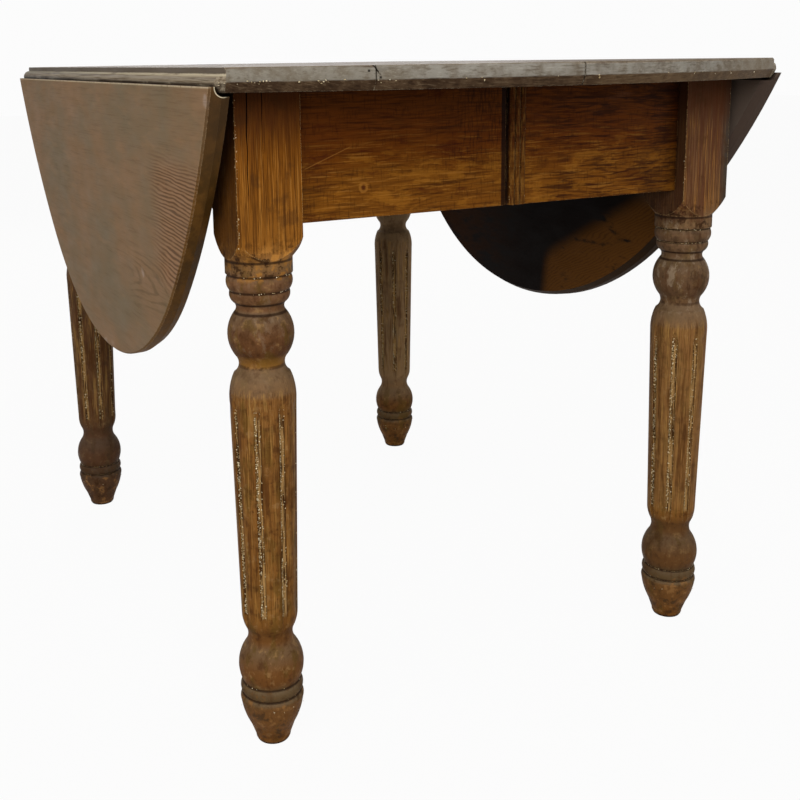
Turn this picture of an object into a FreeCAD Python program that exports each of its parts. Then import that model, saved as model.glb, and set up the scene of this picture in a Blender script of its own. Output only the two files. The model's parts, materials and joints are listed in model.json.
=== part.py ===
import FreeCAD, Part
import os
import re
import Sketcher

# Oval drop-leaf table whose two halves pull apart on wooden slides.
# Millimetres. X runs across the table from the left leaf to the right one, Y from front to back, Z up.
# The origin is on the floor under the middle of the table, and the leaves hang.

LEFT, RIGHT = -1, 1
FRONT, BACK = -1, 1

# Driving sizes
SIZES = {
    # Top and leaves
    "top_height": 736,
    "top_thick": 23,
    "oval_half_length": 695,
    "oval_half_width": 533,
    "edge_bevel_drop": 10,
    "edge_bevel_inset": 5,
    "arris_wear": 2,
    "board_joint": 218,
    # Rule joint between top and leaf
    "leaf_clear": 16,
    "hinge_rise": 7,
    "rule_quirk": 6,
    "rule_gap": 0.8,
    # Degrees past upright that each leaf hangs in under its hinges
    "left_leaf_hang": 1.5,
    "right_leaf_hang": 4.5,
    # Legs
    "leg_stock": 70,
    "leg_across": 289,
    "leg_along": 376,
    "block_bottom": 545,
    "shoulder_height": 11,
    "shoulder_swell": 2,
    "foot_radius": 17.5,
    "flute_count": 8,
    "flute_radius": 4,
    "flute_depth": 3,
    "flute_stop": 12,
    "flute_runout": 18,
    # Aprons and their mortise and tenon joints
    "apron_depth": 135,
    "apron_thick": 22,
    "apron_setback": 15,
    "split_gap": 5,
    "split_shift": 4.5,
    "tenon_length": 28,
    "tenon_thick": 10,
    "tenon_shoulder": 12,
    "joint_fit": 0.15,
    # Cover strip beside the split
    "strip_width": 21,
    "strip_thick": 8,
    "strip_proud": 3,
    "strip_bead": 2.2,
    # Extension slides
    "slide_inset": 141,
    "slide_width": 22,
    "slide_depth": 50,
    "slide_end_gap": 7,
    "slide_play": 0.4,
    "groove_play": 0.6,
    "slide_relief": 0.8,
    "tongue_depth": 8,
    "tongue_root": 12,
    "tongue_tip": 18,
    "slide_screw_near": 75,
    "slide_screw_far": 225,
    "slide_screw_sink": 18,
    "slide_screw_bite": 14,
    # Dowels in the meeting edge of the top
    "dowel_radius": 4,
    "dowel_hold": 25,
    "dowel_reach": 18,
    "dowel_spread": 300,
    "dowel_play": 0.4,
    # Table hinges
    "hinge_spread": 290,
    "hinge_width": 60,
    "plate_thick": 2,
    "plate_start": 8,
    "top_plate_length": 40,
    "leaf_plate_length": 52,
    "plate_fit": 0.2,
    "post_width": 4,
    "eye_radius": 3.5,
    "eye_play": 0.4,
    "pin_radius": 1.5,
    "pin_play": 0.06,
    "screw_radius": 1.8,
    "screw_head_radius": 3.6,
    "screw_length": 15,
    "screw_play": 0.1,
    # Fly rails and brackets that hold the leaves up
    "side_setback": 15,
    "fly_thick": 22,
    "fly_depth": 95,
    "fly_half_rail": 145,
    "fly_end_gap": 8,
    "fly_straight": 45,
    "fly_tip": 38,
    "fly_swell": 8,
    "fly_play": 0.5,
    "fly_pin_radius": 3,
    # Glue blocks
    "glue_block_side": 24,
    "glue_block_length": 50,
    "glue_block_near": 80,
    "glue_block_far": 195,
    "glue_block_gap": 31,
}

# The turning of a leg below its square block: each element's height, the radius at its upper end,
# and how far its outline swells out (+) or hollows in (-) from a straight line.
LOWER_TURNING = {
    "foot_edge": (6, 19.5, 0.6),
    "foot_taper": (15, 25, 0),
    "bulb": (29, 34.5, 1.4),
    "bulb_turn": (9, 31.8, 1.5),
    "ring": (14, 31.5, 2.8),
    "ball": (41, 29, 5.4),
    "ankle": (23, 27, -3.6),
    "shaft_end": (16, 30.5, 0.9),
}
SHAFT_TOP_RADIUS = ("shaft_top_radius", 35.2)
UPPER_TURNING = {
    "shoulder": (29, 30, 1.7),
    "neck": (20, 27.5, -4.6),
    "upper_ball": (46, 27, 7.6),
    "collar": (10, 27, -2),
    "lower_ring": (13, 31, 2.3),
    "upper_ring": (16, 33, 2.5),
    "quirk": (2, 35, 0),
    "band": (16, 35, 0),
}

# Sizes that follow from the driving ones
FOLLOWING = {
    "underside": "top_height - top_thick",
    "oval_end_radius": "oval_half_width^2 / oval_half_length",
    "oval_side_radius": "(oval_half_length^2 + oval_half_width^2 - 2 * oval_half_length * oval_end_radius)"
                        " / (2 * (oval_half_width - oval_end_radius))",
    "oval_centre_step": "oval_side_radius - oval_end_radius",
    "oval_end_centre": "oval_half_length - oval_end_radius",
    "oval_corner_across": "oval_end_centre + oval_end_radius * oval_end_centre / oval_centre_step",
    "oval_corner_along": "oval_end_radius * (oval_side_radius - oval_half_width) / oval_centre_step",
    "hinge_line": "leg_across + leg_stock / 2 + leaf_clear + hinge_rise",
    "hinge_height": "underside + hinge_rise",
    "rule_radius": "top_thick - rule_quirk - hinge_rise",
    "leaf_edge": "rule_radius + rule_gap",
    "hinge_gain": "sqrt(hinge_rise^2 + post_width^2 / 4) + eye_play",
    "apron_face": "leg_along + leg_stock / 2 - apron_setback",
    "apron_back": "apron_face - apron_thick",
    "apron_low": "underside - apron_depth",
    "leg_inside_across": "leg_across - leg_stock / 2",
    "leg_inside_along": "leg_along - leg_stock / 2",
    "fly_face": "leg_across + leg_stock / 2 - side_setback",
    "fly_back": "fly_face - fly_thick",
    "fly_axis": "fly_face - fly_thick / 2",
    "fly_low": "underside - fly_depth",
    "fly_reach": "leg_inside_along - fly_half_rail - fly_end_gap",
    "glue_block_end": "leg_inside_along - glue_block_gap - glue_block_length / 2",
    "side_back": "fly_back - apron_thick",
    "slide_half": "side_back - slide_end_gap",
    "slide_along": "leg_inside_along - slide_inset",
    "slide_pitch": "slide_width + slide_play",
    "dowel_height": "underside + top_thick / 2",
    "lathe_clear": "leg_stock * 0.75",
}

for element, (height, radius, swell) in {**LOWER_TURNING, **UPPER_TURNING}.items():
    SIZES[element + "_height"] = height
    SIZES[element + "_radius"] = radius
    SIZES[element + "_swell"] = swell
SIZES[SHAFT_TOP_RADIUS[0]] = SHAFT_TOP_RADIUS[1]

doc = FreeCAD.newDocument("drop_leaf_table")
sheet = doc.addObject("Spreadsheet::Sheet", "Sizes")
for row, (name, number) in enumerate(SIZES.items(), start=1):
    sheet.set(f"A{row}", name)
    sheet.set(f"B{row}", str(number))
    sheet.setAlias(f"B{row}", name)
doc.recompute()

sub_parts = []


# Words to expressions

def worded(text):
    """Turn a size written in words into an expression on the sheet's cells."""
    def look_up(match):
        word = match.group(0)
        if word in FOLLOWING:
            return "(" + worded(FOLLOWING[word]) + ")"
        if word in SIZES:
            return "Sizes." + word
        return word
    return re.sub(r"[a-z_]+", look_up, str(text))


def size(text):
    """The present value of a size written in words."""
    return float(sheet.evalExpression(worded(text).replace("Sizes.", "")))


def span(side, near, far):
    """The low and high ends of a stretch from near to far, on one side of the middle."""
    if side > 0:
        return (near, far)
    return (f"-({far})", f"-({near})")


def around(centre, width):
    """The low and high ends of a stretch of one width about its centre."""
    return (f"({centre}) - ({width}) / 2", f"({centre}) + ({width}) / 2")


# Shapes

def move(piece, x, y, z):
    """Put a piece at a place written in words."""
    for axis, text in zip("xyz", (x, y, z)):
        piece.setExpression(f"Placement.Base.{axis}", worded(text))


def turn(piece, axis, angle):
    """Turn a piece about an axis through its own origin."""
    piece.Placement = FreeCAD.Placement(FreeCAD.Vector(), FreeCAD.Rotation(FreeCAD.Vector(*axis), angle))


def box(name, x, y, z):
    """A squared piece between a low and a high plane on each axis."""
    piece = doc.addObject("Part::Box", name)
    for length, (low, high) in zip(("Length", "Width", "Height"), (x, y, z)):
        piece.setExpression(length, worded(f"({high}) - ({low})"))
    move(piece, x[0], y[0], z[0])
    return piece


def rod(name, along, radius, start, length, end_radius=None):
    """A round piece along X, Y or Z from a start point. With an end radius it tapers."""
    piece = doc.addObject("Part::Cone" if end_radius else "Part::Cylinder", name)
    if along == "x":
        turn(piece, (0, 1, 0), 90)
    if along == "y":
        turn(piece, (1, 0, 0), -90)
    if end_radius:
        piece.setExpression("Radius1", worded(radius))
        piece.setExpression("Radius2", worded(end_radius))
    else:
        piece.setExpression("Radius", worded(radius))
    piece.setExpression("Height", worded(length))
    move(piece, *start)
    return piece


def fuse(name, *pieces):
    """Several shapes made into one piece."""
    whole = doc.addObject("Part::MultiFuse", name)
    whole.Shapes = list(pieces)
    return whole


def cut(name, base, *tools):
    """A piece with other shapes cut out of it."""
    left = doc.addObject("Part::Cut", name)
    left.Base = base
    left.Tool = tools[0] if len(tools) == 1 else fuse(name + "_cuts", *tools)
    return left


def common(name, base, tool):
    """What two shapes share."""
    shared = doc.addObject("Part::Common", name)
    shared.Base = base
    shared.Tool = tool
    return shared


def group(name, pieces):
    """Like pieces that share a name."""
    together = doc.addObject("Part::Compound", name)
    together.Links = list(pieces)
    return together


def keep(piece, label):
    """Name a finished sub-part."""
    piece.Label = label
    sub_parts.append(piece)
    return piece


def plane(body, role):
    """One of a body's own planes or axes."""
    return next(item for item in body.Origin.OriginFeatures if item.Role == role)


def sketch_on(body, role, name):
    """An empty sketch on one of a body's own planes."""
    sketch = body.newObject("Sketcher::SketchObject", name)
    sketch.AttachmentSupport = (plane(body, role), [""])
    sketch.MapMode = "FlatFace"
    return sketch


def pin_point(rules, texts, kind, edge, end, text):
    """Hold one coordinate of a sketch point at a size, or on the sketch's own axis where it is nought."""
    if size(text) == 0:
        axis_line = -2 if kind == "DistanceX" else -1
        rules.append(Sketcher.Constraint("PointOnObject", edge, end, axis_line))
        texts.append(None)
    else:
        rules.append(Sketcher.Constraint(kind, -1, 1, edge, end, size(text)))
        texts.append(text)


def apply_rules(sketch, rules, texts):
    """Add the constraints and bind each dimension to its size."""
    for index, text in zip(sketch.addConstraint(rules), texts):
        if text is not None:
            sketch.setExpression(f"Constraints[{index}]", worded(text))


def outline(body, role, name, points):
    """A closed outline through points (across, up, swell), each swell bending the edge to the next point."""
    sketch = sketch_on(body, role, name)
    corners = [FreeCAD.Vector(size(across), size(up), 0) for across, up, swell in points]
    edges, ends, rules, texts = [], [], [], []
    for index, (across, up, swell) in enumerate(points):
        start, finish = corners[index], corners[(index + 1) % len(points)]
        bend = size(swell)
        if bend == 0:
            edges.append(Part.LineSegment(start, finish))
            ends.append((1, 2))
            continue
        run = finish - start
        aside = FreeCAD.Vector(run.y, -run.x, 0).normalize()
        middle = (start + finish) * 0.5 + aside * bend
        edges.append(Part.Arc(start, middle, finish) if bend > 0 else Part.Arc(finish, middle, start))
        ends.append((1, 2) if bend > 0 else (2, 1))
    sketch.addGeometry(edges)
    for index, (across, up, swell) in enumerate(points):
        following = (index + 1) % len(points)
        rules.append(Sketcher.Constraint("Coincident", index, ends[index][1], following, ends[following][0]))
        texts.append(None)
        pin_point(rules, texts, "DistanceX", index, ends[index][0], across)
        pin_point(rules, texts, "DistanceY", index, ends[index][0], up)
        if size(swell) != 0:
            next_across, next_up = points[following][:2]
            chord_squared = f"((({next_across}) - ({across}))^2 + (({next_up}) - ({up}))^2)"
            bend_radius = f"{chord_squared} / (8 * abs({swell})) + abs({swell}) / 2"
            rules.append(Sketcher.Constraint("Radius", index, size(bend_radius)))
            texts.append(bend_radius)
    apply_rules(sketch, rules, texts)
    return sketch


def pad(body, sketch, length, both_ways=False):
    """Give an outline its thickness."""
    feature = body.newObject("PartDesign::Pad", sketch.Name + "_pad")
    feature.Profile = sketch
    feature.setExpression("Length", worded(length))
    feature.Midplane = both_ways
    return feature


def profiled(name, role, points, length):
    """A piece of one profile, centred along its length."""
    body = doc.addObject("PartDesign::Body", name)
    pad(body, outline(body, role, name + "_profile", points), length, both_ways=True)
    return body


# Legs

def turning_heights():
    """Each turned element with the height of its lower end, as words, from the foot up to the block."""
    stations = []
    below = "0"
    for element in LOWER_TURNING:
        stations.append((element, below))
        below = f"{below} + {element}_height"
    shaft_low = below
    for element in reversed(UPPER_TURNING):
        below = "block_bottom" if element == "band" else below
        below = f"{below} - {element}_height"
        stations.append((element, below))
    return stations[:len(LOWER_TURNING)], shaft_low, stations[:len(LOWER_TURNING) - 1:-1]


def lathe_outline():
    """What the lathe takes away from the square stock: outside the turned profile, below the block."""
    lower, shaft_low, upper = turning_heights()
    points = []
    radius = "foot_radius"
    for element, height in lower:
        points.append((radius, height, element + "_swell"))
        radius = element + "_radius"
    points.append((radius, shaft_low, "0"))
    radius = SHAFT_TOP_RADIUS[0]
    for element, height in upper:
        points.append((radius, height, element + "_swell"))
        radius = element + "_radius"
    points.append((radius, "block_bottom", "shoulder_swell"))
    points.append(("lathe_clear", "block_bottom + shoulder_height", "0"))
    points.append(("lathe_clear", "0", "0"))
    return points, shaft_low, upper[0][1]


def flute_section(body, name, height, reach, angle):
    """One round section of a flute, its far side at a reach from the leg's axis."""
    sketch = sketch_on(body, "XY_Plane", name)
    sketch.AttachmentOffset = FreeCAD.Placement(
        FreeCAD.Vector(), FreeCAD.Rotation(FreeCAD.Vector(0, 0, 1), angle))
    sketch.setExpression("AttachmentOffset.Base.z", worded(height))
    centre = f"{reach} + flute_radius"
    middle = FreeCAD.Vector(size(centre), 0, 0)
    sketch.addGeometry(Part.Circle(middle, FreeCAD.Vector(0, 0, 1), size("flute_radius")))
    rules = [
        Sketcher.Constraint("PointOnObject", 0, 3, -1),
        Sketcher.Constraint("DistanceX", -1, 1, 0, 3, size(centre)),
        Sketcher.Constraint("Radius", 0, size("flute_radius")),
    ]
    apply_rules(sketch, rules, [None, centre, "flute_radius"])
    return sketch


def turned_leg(name, flute_angle):
    """Square stock, turned below the block and fluted along the tapered shaft."""
    body = doc.addObject("PartDesign::Body", name)
    half = "leg_stock / 2"
    square = [(f"-{half}", f"-{half}", "0"), (half, f"-{half}", "0"),
              (half, half, "0"), (f"-{half}", half, "0")]
    pad(body, outline(body, "XY_Plane", name + "_stock", square), "underside")
    points, shaft_low, shaft_high = lathe_outline()
    lathe = outline(body, "XZ_Plane", name + "_lathe", points)
    turning = body.newObject("PartDesign::Groove", name + "_turning")
    turning.Profile = lathe
    turning.ReferenceAxis = (lathe, ["V_Axis"])
    turning.Angle = 360
    low = flute_section(body, name + "_flute_low", f"{shaft_low} - flute_runout",
                        "shaft_end_radius - flute_depth", flute_angle)
    high = flute_section(body, name + "_flute_high", f"{shaft_high} - flute_stop / 2",
                         "shaft_top_radius - flute_depth", flute_angle)
    stop = flute_section(body, name + "_flute_stop", f"{shaft_high} + flute_stop",
                         "shaft_top_radius + flute_depth / 2", flute_angle)
    flute = body.newObject("PartDesign::SubtractiveLoft", name + "_flute")
    flute.Profile = low
    flute.Sections = [high, stop]
    flute.Ruled = True
    ring = body.newObject("PartDesign::PolarPattern", name + "_flutes")
    ring.Originals = [flute]
    ring.Axis = (plane(body, "Z_Axis"), [""])
    ring.Angle = 360
    ring.setExpression("Occurrences", worded("flute_count"))
    body.Tip = ring
    return body


def tenon_spans(side, end):
    """Where the tenons of the half apron and the side apron lie in a corner's leg."""
    tall = ("apron_low + tenon_shoulder", "underside - tenon_shoulder")
    half_apron = (
        span(side, "leg_inside_across", "leg_inside_across + tenon_length"),
        span(end, *around("apron_face - apron_thick / 2", "tenon_thick")), tall)
    side_apron = (
        span(side, *around("fly_back - apron_thick / 2", "tenon_thick")),
        span(end, "leg_inside_along", "leg_inside_along + tenon_length"), tall)
    return half_apron, side_apron


def eased(spans):
    """A tenon's room with the joint's clearance all round."""
    return [(f"{low} - joint_fit", f"{high} + joint_fit") for low, high in spans]


def leg(label, side, end, flute_angle):
    body = turned_leg(label + "_turned", flute_angle)
    move(body, f"{side} * leg_across", f"{end} * leg_along", "0")
    half_apron, side_apron = tenon_spans(side, end)
    mortises = [box(label + "_half_mortise", *eased(half_apron)),
                box(label + "_side_mortise", *eased(side_apron))]
    keep(cut(label + "_mortised", body, *mortises), label)


# Aprons

def half_apron(label, side, end):
    """Half of the front or back apron, from a leg to the split. The right ones are rebated for the strip."""
    split_end = f"split_gap / 2 + {side} * split_shift"
    tall = ("apron_low", "underside")
    deep = span(end, "apron_back", "apron_face")
    board = box(label + "_board", span(side, split_end, "leg_inside_across"), deep, tall)
    piece = fuse(label + "_tenoned", board, box(label + "_tenon", *tenon_spans(side, end)[0]))
    if side == RIGHT:
        rebate = box(label + "_rebate", (split_end, f"{split_end} + strip_width"),
                     span(end, "apron_face - strip_thick + strip_proud", "apron_face + strip_proud"), tall)
        piece = cut(label + "_rebated", piece, rebate)
    keep(piece, label)


def side_apron(label, side):
    """The apron behind a leaf, tenoned into both legs of its half."""
    tall = ("apron_low", "underside")
    board = box(label + "_board", span(side, "side_back", "fly_back"),
                ("-leg_inside_along", "leg_inside_along"), tall)
    tenons = [box(f"{label}_tenon_{end + 1}", *tenon_spans(side, end)[1]) for end in (FRONT, BACK)]
    keep(fuse(label + "_tenoned", board, *tenons), label)


def cover_strip(label, end):
    """The upright moulding that covers the split: three beads side by side on a flat back."""
    back, front = "0", "strip_thick - strip_bead"
    points = [
        ("-strip_width / 2", back, "0"),
        ("strip_width / 2", back, "0"),
        ("strip_width / 2", front, "strip_bead"),
        ("strip_width / 6", front, "strip_bead"),
        ("-strip_width / 6", front, "strip_bead"),
        ("-strip_width / 2", front, "0"),
    ]
    body = profiled(label + "_moulding", "XY_Plane", points, "apron_depth")
    turn(body, (0, 0, 1), 180 if end == FRONT else 0)
    move(body, "split_shift + split_gap / 2 + strip_width / 2",
         f"{end} * (apron_face - strip_thick + strip_proud)", "underside - apron_depth / 2")
    keep(body, label)


# Extension slides

def middle_slide(label, end):
    """The loose member of a set, with a dovetail tongue on each side."""
    half, low = "slide_width / 2", "(slide_depth / 2 - slide_relief)"
    tip = f"{half} + tongue_depth"
    one_side = [
        (half, f"-{low}", "0"),
        (half, "-tongue_root / 2", "0"),
        (tip, "-tongue_tip / 2", "0"),
        (tip, "tongue_tip / 2", "0"),
        (half, "tongue_root / 2", "0"),
        (half, low, "0"),
    ]
    other_side = [(f"-({across})", f"-({up})", swell) for across, up, swell in one_side]
    body = profiled(label + "_member", "YZ_Plane", one_side + other_side, "2 * slide_half")
    move(body, "0", f"{end} * slide_along", "underside - slide_depth / 2")
    keep(body, label)


def slide_screw_places(side, end):
    """The screws that hold a grooved member up to its half of the top, clear of its groove."""
    y = f"{end} * slide_along - {side * end} * (slide_pitch + tongue_depth / 2)"
    return [(f"{side} * {place}", y) for place in ("slide_screw_near", "slide_screw_far")]


def grooved_slide(label, side, end):
    """A member screwed under one half of the top, grooved for the middle one and relieved under the other."""
    near = "slide_width / 2 + slide_play"
    far = f"{near} + slide_width"
    deep = f"{near} + tongue_depth"
    mouth, floor = "(tongue_root / 2 + groove_play)", "(tongue_tip / 2 + groove_play)"
    points = [
        (near, "-slide_depth / 2", "0"),
        (far, "-slide_depth / 2", "0"),
        (far, "slide_depth / 2", "0"),
        (near, "slide_depth / 2", "0"),
        (near, mouth, "0"),
        (deep, floor, "0"),
        (deep, f"-{floor}", "0"),
        (near, f"-{mouth}", "0"),
    ]
    body = profiled(label + "_member", "YZ_Plane", points, "2 * slide_half")
    turn(body, (0, 0, 1), 180 if side == end else 0)
    move(body, "0", f"{end} * slide_along", "underside - slide_depth / 2")
    outer = f"{end} * slide_along - {side * end} * slide_pitch"
    relief = box(label + "_relief", span(-side, "-slide_relief", "slide_half + slide_relief"),
                 around(outer, "2 * slide_width"), ("underside - slide_relief", "underside + slide_relief"))
    holes = []
    for index, (x, y) in enumerate(slide_screw_places(side, end)):
        holes.append(rod(f"{label}_hole_{index}", "z", "screw_radius + screw_play",
                         (x, y, "underside - slide_depth"), "slide_depth"))
        holes.append(rod(f"{label}_sink_{index}", "z", "screw_head_radius + screw_play",
                         (x, y, "underside - slide_depth"), "slide_screw_sink"))
    keep(cut(label + "_relieved", body, relief, *holes), label)


def slide_screws(label, side):
    """Round-headed screws up through both grooved members of one half."""
    screws = []
    for end in (FRONT, BACK):
        for x, y in slide_screw_places(side, end):
            name = f"{label}_{len(screws)}"
            seat = "underside - slide_depth + slide_screw_sink"
            head = rod(name + "_head", "z", "screw_radius", (x, y, f"{seat} - screw_radius"),
                       "screw_radius", "screw_head_radius")
            shank = rod(name + "_shank", "z", "screw_radius", (x, y, seat),
                        "slide_depth - slide_screw_sink + slide_screw_bite")
            screws.append(fuse(name, head, shank))
    keep(group(label + "_group", screws), label)


def slide_screw_holes(label, side):
    """The same screws' holes in the top."""
    holes = []
    for end in (FRONT, BACK):
        for x, y in slide_screw_places(side, end):
            holes.append(rod(f"{label}_slide_hole_{len(holes)}", "z", "screw_radius + screw_play",
                             (x, y, "underside"), "slide_screw_bite + screw_play"))
    return holes


# Table hinges, drawn with the leaf up and its plate level

HINGE_PLACES = ("-hinge_spread", "0", "hinge_spread")
EYES = 3
# Each screw's place on a plate, as shares of the plate's length and of its width
PLATE_SCREWS = ((0.3, -0.3), (0.3, 0.3), (0.75, 0))


def plate_span(side, part):
    """How far a plate reaches, on the top's side or the leaf's side of the hinge line."""
    if part == "top":
        return span(side, "hinge_line - plate_start - top_plate_length", "hinge_line - plate_start")
    return span(side, "hinge_line + plate_start", "hinge_line + plate_start + leaf_plate_length")


def plate_screw_places(side, part, y):
    """Three screws in a triangle on one plate."""
    direction = -1 if part == "top" else 1
    return [(f"{side} * (hinge_line + {direction} * (plate_start + {along} * {part}_plate_length))",
             f"{y} + {across} * hinge_width") for along, across in PLATE_SCREWS]


def hinge_plate(name, side, part, y):
    """One plate let into the underside, with cranked eyes that reach up to the pin."""
    flat = ("underside", "underside + plate_thick")
    pieces = [box(name + "_plate", plate_span(side, part), around(y, "hinge_width"), flat)]
    eye = f"(hinge_width / {EYES})"
    for index in range(EYES):
        if (index == 1) != (part == "leaf"):
            continue
        centre = f"{y} + {index - 1} * {eye}"
        across = around(centre, f"{eye} - eye_play")
        if part == "top":
            reach = span(side, "hinge_line - plate_start", "hinge_line + post_width / 2")
        else:
            reach = span(side, "hinge_line - post_width / 2", "hinge_line + plate_start")
        upright = span(side, *around("hinge_line", "post_width"))
        pieces.append(box(f"{name}_strap_{index}", reach, across, flat))
        pieces.append(box(f"{name}_post_{index}", upright, across, ("underside", "hinge_height")))
        pieces.append(rod(f"{name}_eye_{index}", "y", "eye_radius",
                          (f"{side} * hinge_line", across[0], "hinge_height"), f"{eye} - eye_play"))
    bore = rod(name + "_bore", "y", "pin_radius + pin_play",
               (f"{side} * hinge_line", f"{y} - hinge_width", "hinge_height"), "2 * hinge_width")
    holes = [bore]
    for index, (x, across) in enumerate(plate_screw_places(side, part, y)):
        holes.append(rod(f"{name}_sink_{index}", "z", "screw_head_radius + screw_play",
                         (x, across, "underside"), "plate_thick", "screw_radius + screw_play"))
    return cut(name, fuse(name + "_blank", *pieces), *holes)


def hinge_plates(label, side, part):
    plates = [hinge_plate(f"{label}_{index}", side, part, y) for index, y in enumerate(HINGE_PLACES)]
    return group(label + "_group", plates)


def hinge_pins(label, side):
    pins = [rod(f"{label}_{index}", "y", "pin_radius",
                (f"{side} * hinge_line", f"{y} - hinge_width / 2", "hinge_height"), "hinge_width")
            for index, y in enumerate(HINGE_PLACES)]
    return group(label + "_group", pins)


def plate_screws(label, side, part):
    """Countersunk screws, their heads flush with the plates."""
    screws = []
    for y in HINGE_PLACES:
        for x, across in plate_screw_places(side, part, y):
            name = f"{label}_{len(screws)}"
            head = rod(name + "_head", "z", "screw_head_radius", (x, across, "underside"),
                       "plate_thick", "screw_radius")
            shank = rod(name + "_shank", "z", "screw_radius", (x, across, "underside"), "screw_length")
            screws.append(fuse(name, head, shank))
    return group(label + "_group", screws)


def plate_room(label, side, part):
    """What the hinges of one side need cut out of the top or the leaf."""
    room = []
    wide = "hinge_width + 2 * plate_fit"
    for index, y in enumerate(HINGE_PLACES):
        name = f"{label}_room_{index}"
        across = around(y, wide)
        if part == "top":
            sink = span(side, "hinge_line - plate_start - top_plate_length - plate_fit", "hinge_line")
            under = span(side, "hinge_line", "hinge_line + leaf_edge")
            room.append(rod(name + "_gain", "y", "hinge_gain",
                            (f"{side} * hinge_line", across[0], "hinge_height"), wide))
            room.append(box(name + "_under", under, across,
                            ("underside", "underside + plate_thick + eye_play")))
            room.append(box(name + "_gouge", span(side, "hinge_line - hinge_gain", "hinge_line"), across,
                            ("underside", "hinge_height")))
        else:
            sink = span(side, "hinge_line", "hinge_line + plate_start + leaf_plate_length + plate_fit")
        room.append(box(name + "_sink", sink, across, ("underside", "underside + plate_thick")))
        for count, (x, place) in enumerate(plate_screw_places(side, part, y)):
            room.append(rod(f"{name}_hole_{count}", "z", "screw_radius + screw_play",
                            (x, place, "underside"), "screw_length + screw_play"))
    return room


def hang(piece, side):
    """Swing a raised leaf, or what is on it, down about its hinge line to where it hangs."""
    swing = "(90 + left_leaf_hang)" if side == LEFT else "(90 + right_leaf_hang)"
    turn(piece, (0, side, 0), size(swing))
    piece.setExpression("Placement.Rotation.Angle", worded(swing))
    move(piece, f"{side} * (hinge_line * (1 - cos({swing})) - hinge_height * sin({swing}))", "0",
         f"hinge_height * (1 - cos({swing})) + hinge_line * sin({swing})")
    return piece


# Top and leaves

def level_rim(piece, height):
    """The names of the edges that lie level at a height."""
    level = size(height)
    names = []
    for number, edge in enumerate(piece.Shape.Edges, start=1):
        bounds = edge.BoundBox
        if abs(bounds.ZMin - level) < 0.001 and abs(bounds.ZMax - level) < 0.001:
            names.append(f"Edge{number}")
    return names


def oval_blank():
    """The whole open top: an oval struck from four centres, bevelled below and with a worn arris above."""
    body = doc.addObject("PartDesign::Body", "oval_blank")
    end_swell = "oval_half_length - oval_corner_across"
    side_swell = "oval_half_width - oval_corner_along"
    points = [
        ("oval_corner_across", "-oval_corner_along", end_swell),
        ("oval_corner_across", "oval_corner_along", side_swell),
        ("-oval_corner_across", "oval_corner_along", end_swell),
        ("-oval_corner_across", "-oval_corner_along", side_swell),
    ]
    slab = pad(body, outline(body, "XY_Plane", "oval", points), "top_thick")
    doc.recompute()
    bevel = body.newObject("PartDesign::Chamfer", "oval_bevel")
    bevel.Base = (slab, level_rim(slab, "0"))
    bevel.ChamferType = "Two distances"
    bevel.setExpression("Size", worded("edge_bevel_drop"))
    bevel.setExpression("Size2", worded("edge_bevel_inset"))
    doc.recompute()
    arris = body.newObject("PartDesign::Chamfer", "oval_arris")
    arris.Base = (bevel, level_rim(bevel, "top_thick"))
    arris.setExpression("Size", worded("arris_wear"))
    move(body, "0", "0", "underside")
    return body


WIDE = ("-oval_half_width - top_thick", "oval_half_width + top_thick")
ABOVE = ("underside - top_thick", "top_height + top_thick")


def hinge_round(name, side, radius):
    """The round of the rule joint, about the hinge line."""
    return rod(name, "y", radius, (f"{side} * hinge_line", WIDE[0], "hinge_height"),
               "2 * (oval_half_width + top_thick)")


def dowel_places():
    return ("-dowel_spread", "0", "dowel_spread")


def dowel_holes(label, side, radius, depth):
    low = span(side, "0", depth)[0]
    return [rod(f"{label}_dowel_hole_{index}", "x", radius, (low, y, "dowel_height"), depth)
            for index, y in enumerate(dowel_places())]


def top_board(label, blank, side, near, has_hinges, cuts):
    """A board of the fixed top. The outer one of a half ends in the round edge of the rule joint."""
    if has_hinges:
        flat = box(label + "_flat", span(side, near, "hinge_line"), WIDE, ABOVE)
        extent = fuse(label + "_extent", flat, hinge_round(label + "_round", side, "rule_radius"))
    else:
        extent = box(label + "_extent", span(side, near, "board_joint"), WIDE, ABOVE)
    board = common(label + "_board", blank, extent)
    keep(cut(label + "_cut", board, *cuts), label)


def leaf_board(label, blank, side):
    """A drop leaf, hollowed to ride over the round edge of the top."""
    extent = box(label + "_extent", span(side, "hinge_line + rule_gap", "oval_half_length + top_thick"),
                 WIDE, ABOVE)
    hollow = hinge_round(label + "_hollow", side, "leaf_edge")
    below = box(label + "_below", span(side, "hinge_line", "hinge_line + leaf_edge"), WIDE,
                (ABOVE[0], "hinge_height"))
    board = common(label + "_board", blank, extent)
    keep(hang(cut(label + "_cut", board, hollow, below, *plate_room(label, side, "leaf")), side), label)


def dowels(label):
    pins = [rod(f"{label}_{index}", "x", "dowel_radius", ("-dowel_hold", y, "dowel_height"),
                "dowel_hold + dowel_reach") for index, y in enumerate(dowel_places())]
    keep(group(label + "_group", pins), label)


# Fly rails and brackets

KNUCKLES = 5
KNUCKLE = f"(fly_depth / {KNUCKLES})"


def knuckle_cuts(name, side, y, fixed):
    """Room for the other piece's knuckles about a fly pin, and the pin's hole."""
    axis = (f"{side} * fly_axis", y)
    cuts = [rod(name + "_pin_hole", "z", "fly_pin_radius + pin_play", (*axis, "fly_low - fly_play"),
                "fly_depth + 2 * fly_play")]
    for index in range(KNUCKLES):
        is_fixed_knuckle = index % 2 == 0
        if is_fixed_knuckle == fixed:
            continue
        cuts.append(rod(f"{name}_slot_{index}", "z", "fly_thick / 2 + fly_play",
                        (*axis, f"fly_low + {index} * {KNUCKLE} - fly_play / 2"), f"{KNUCKLE} + fly_play"))
    return cuts


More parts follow.
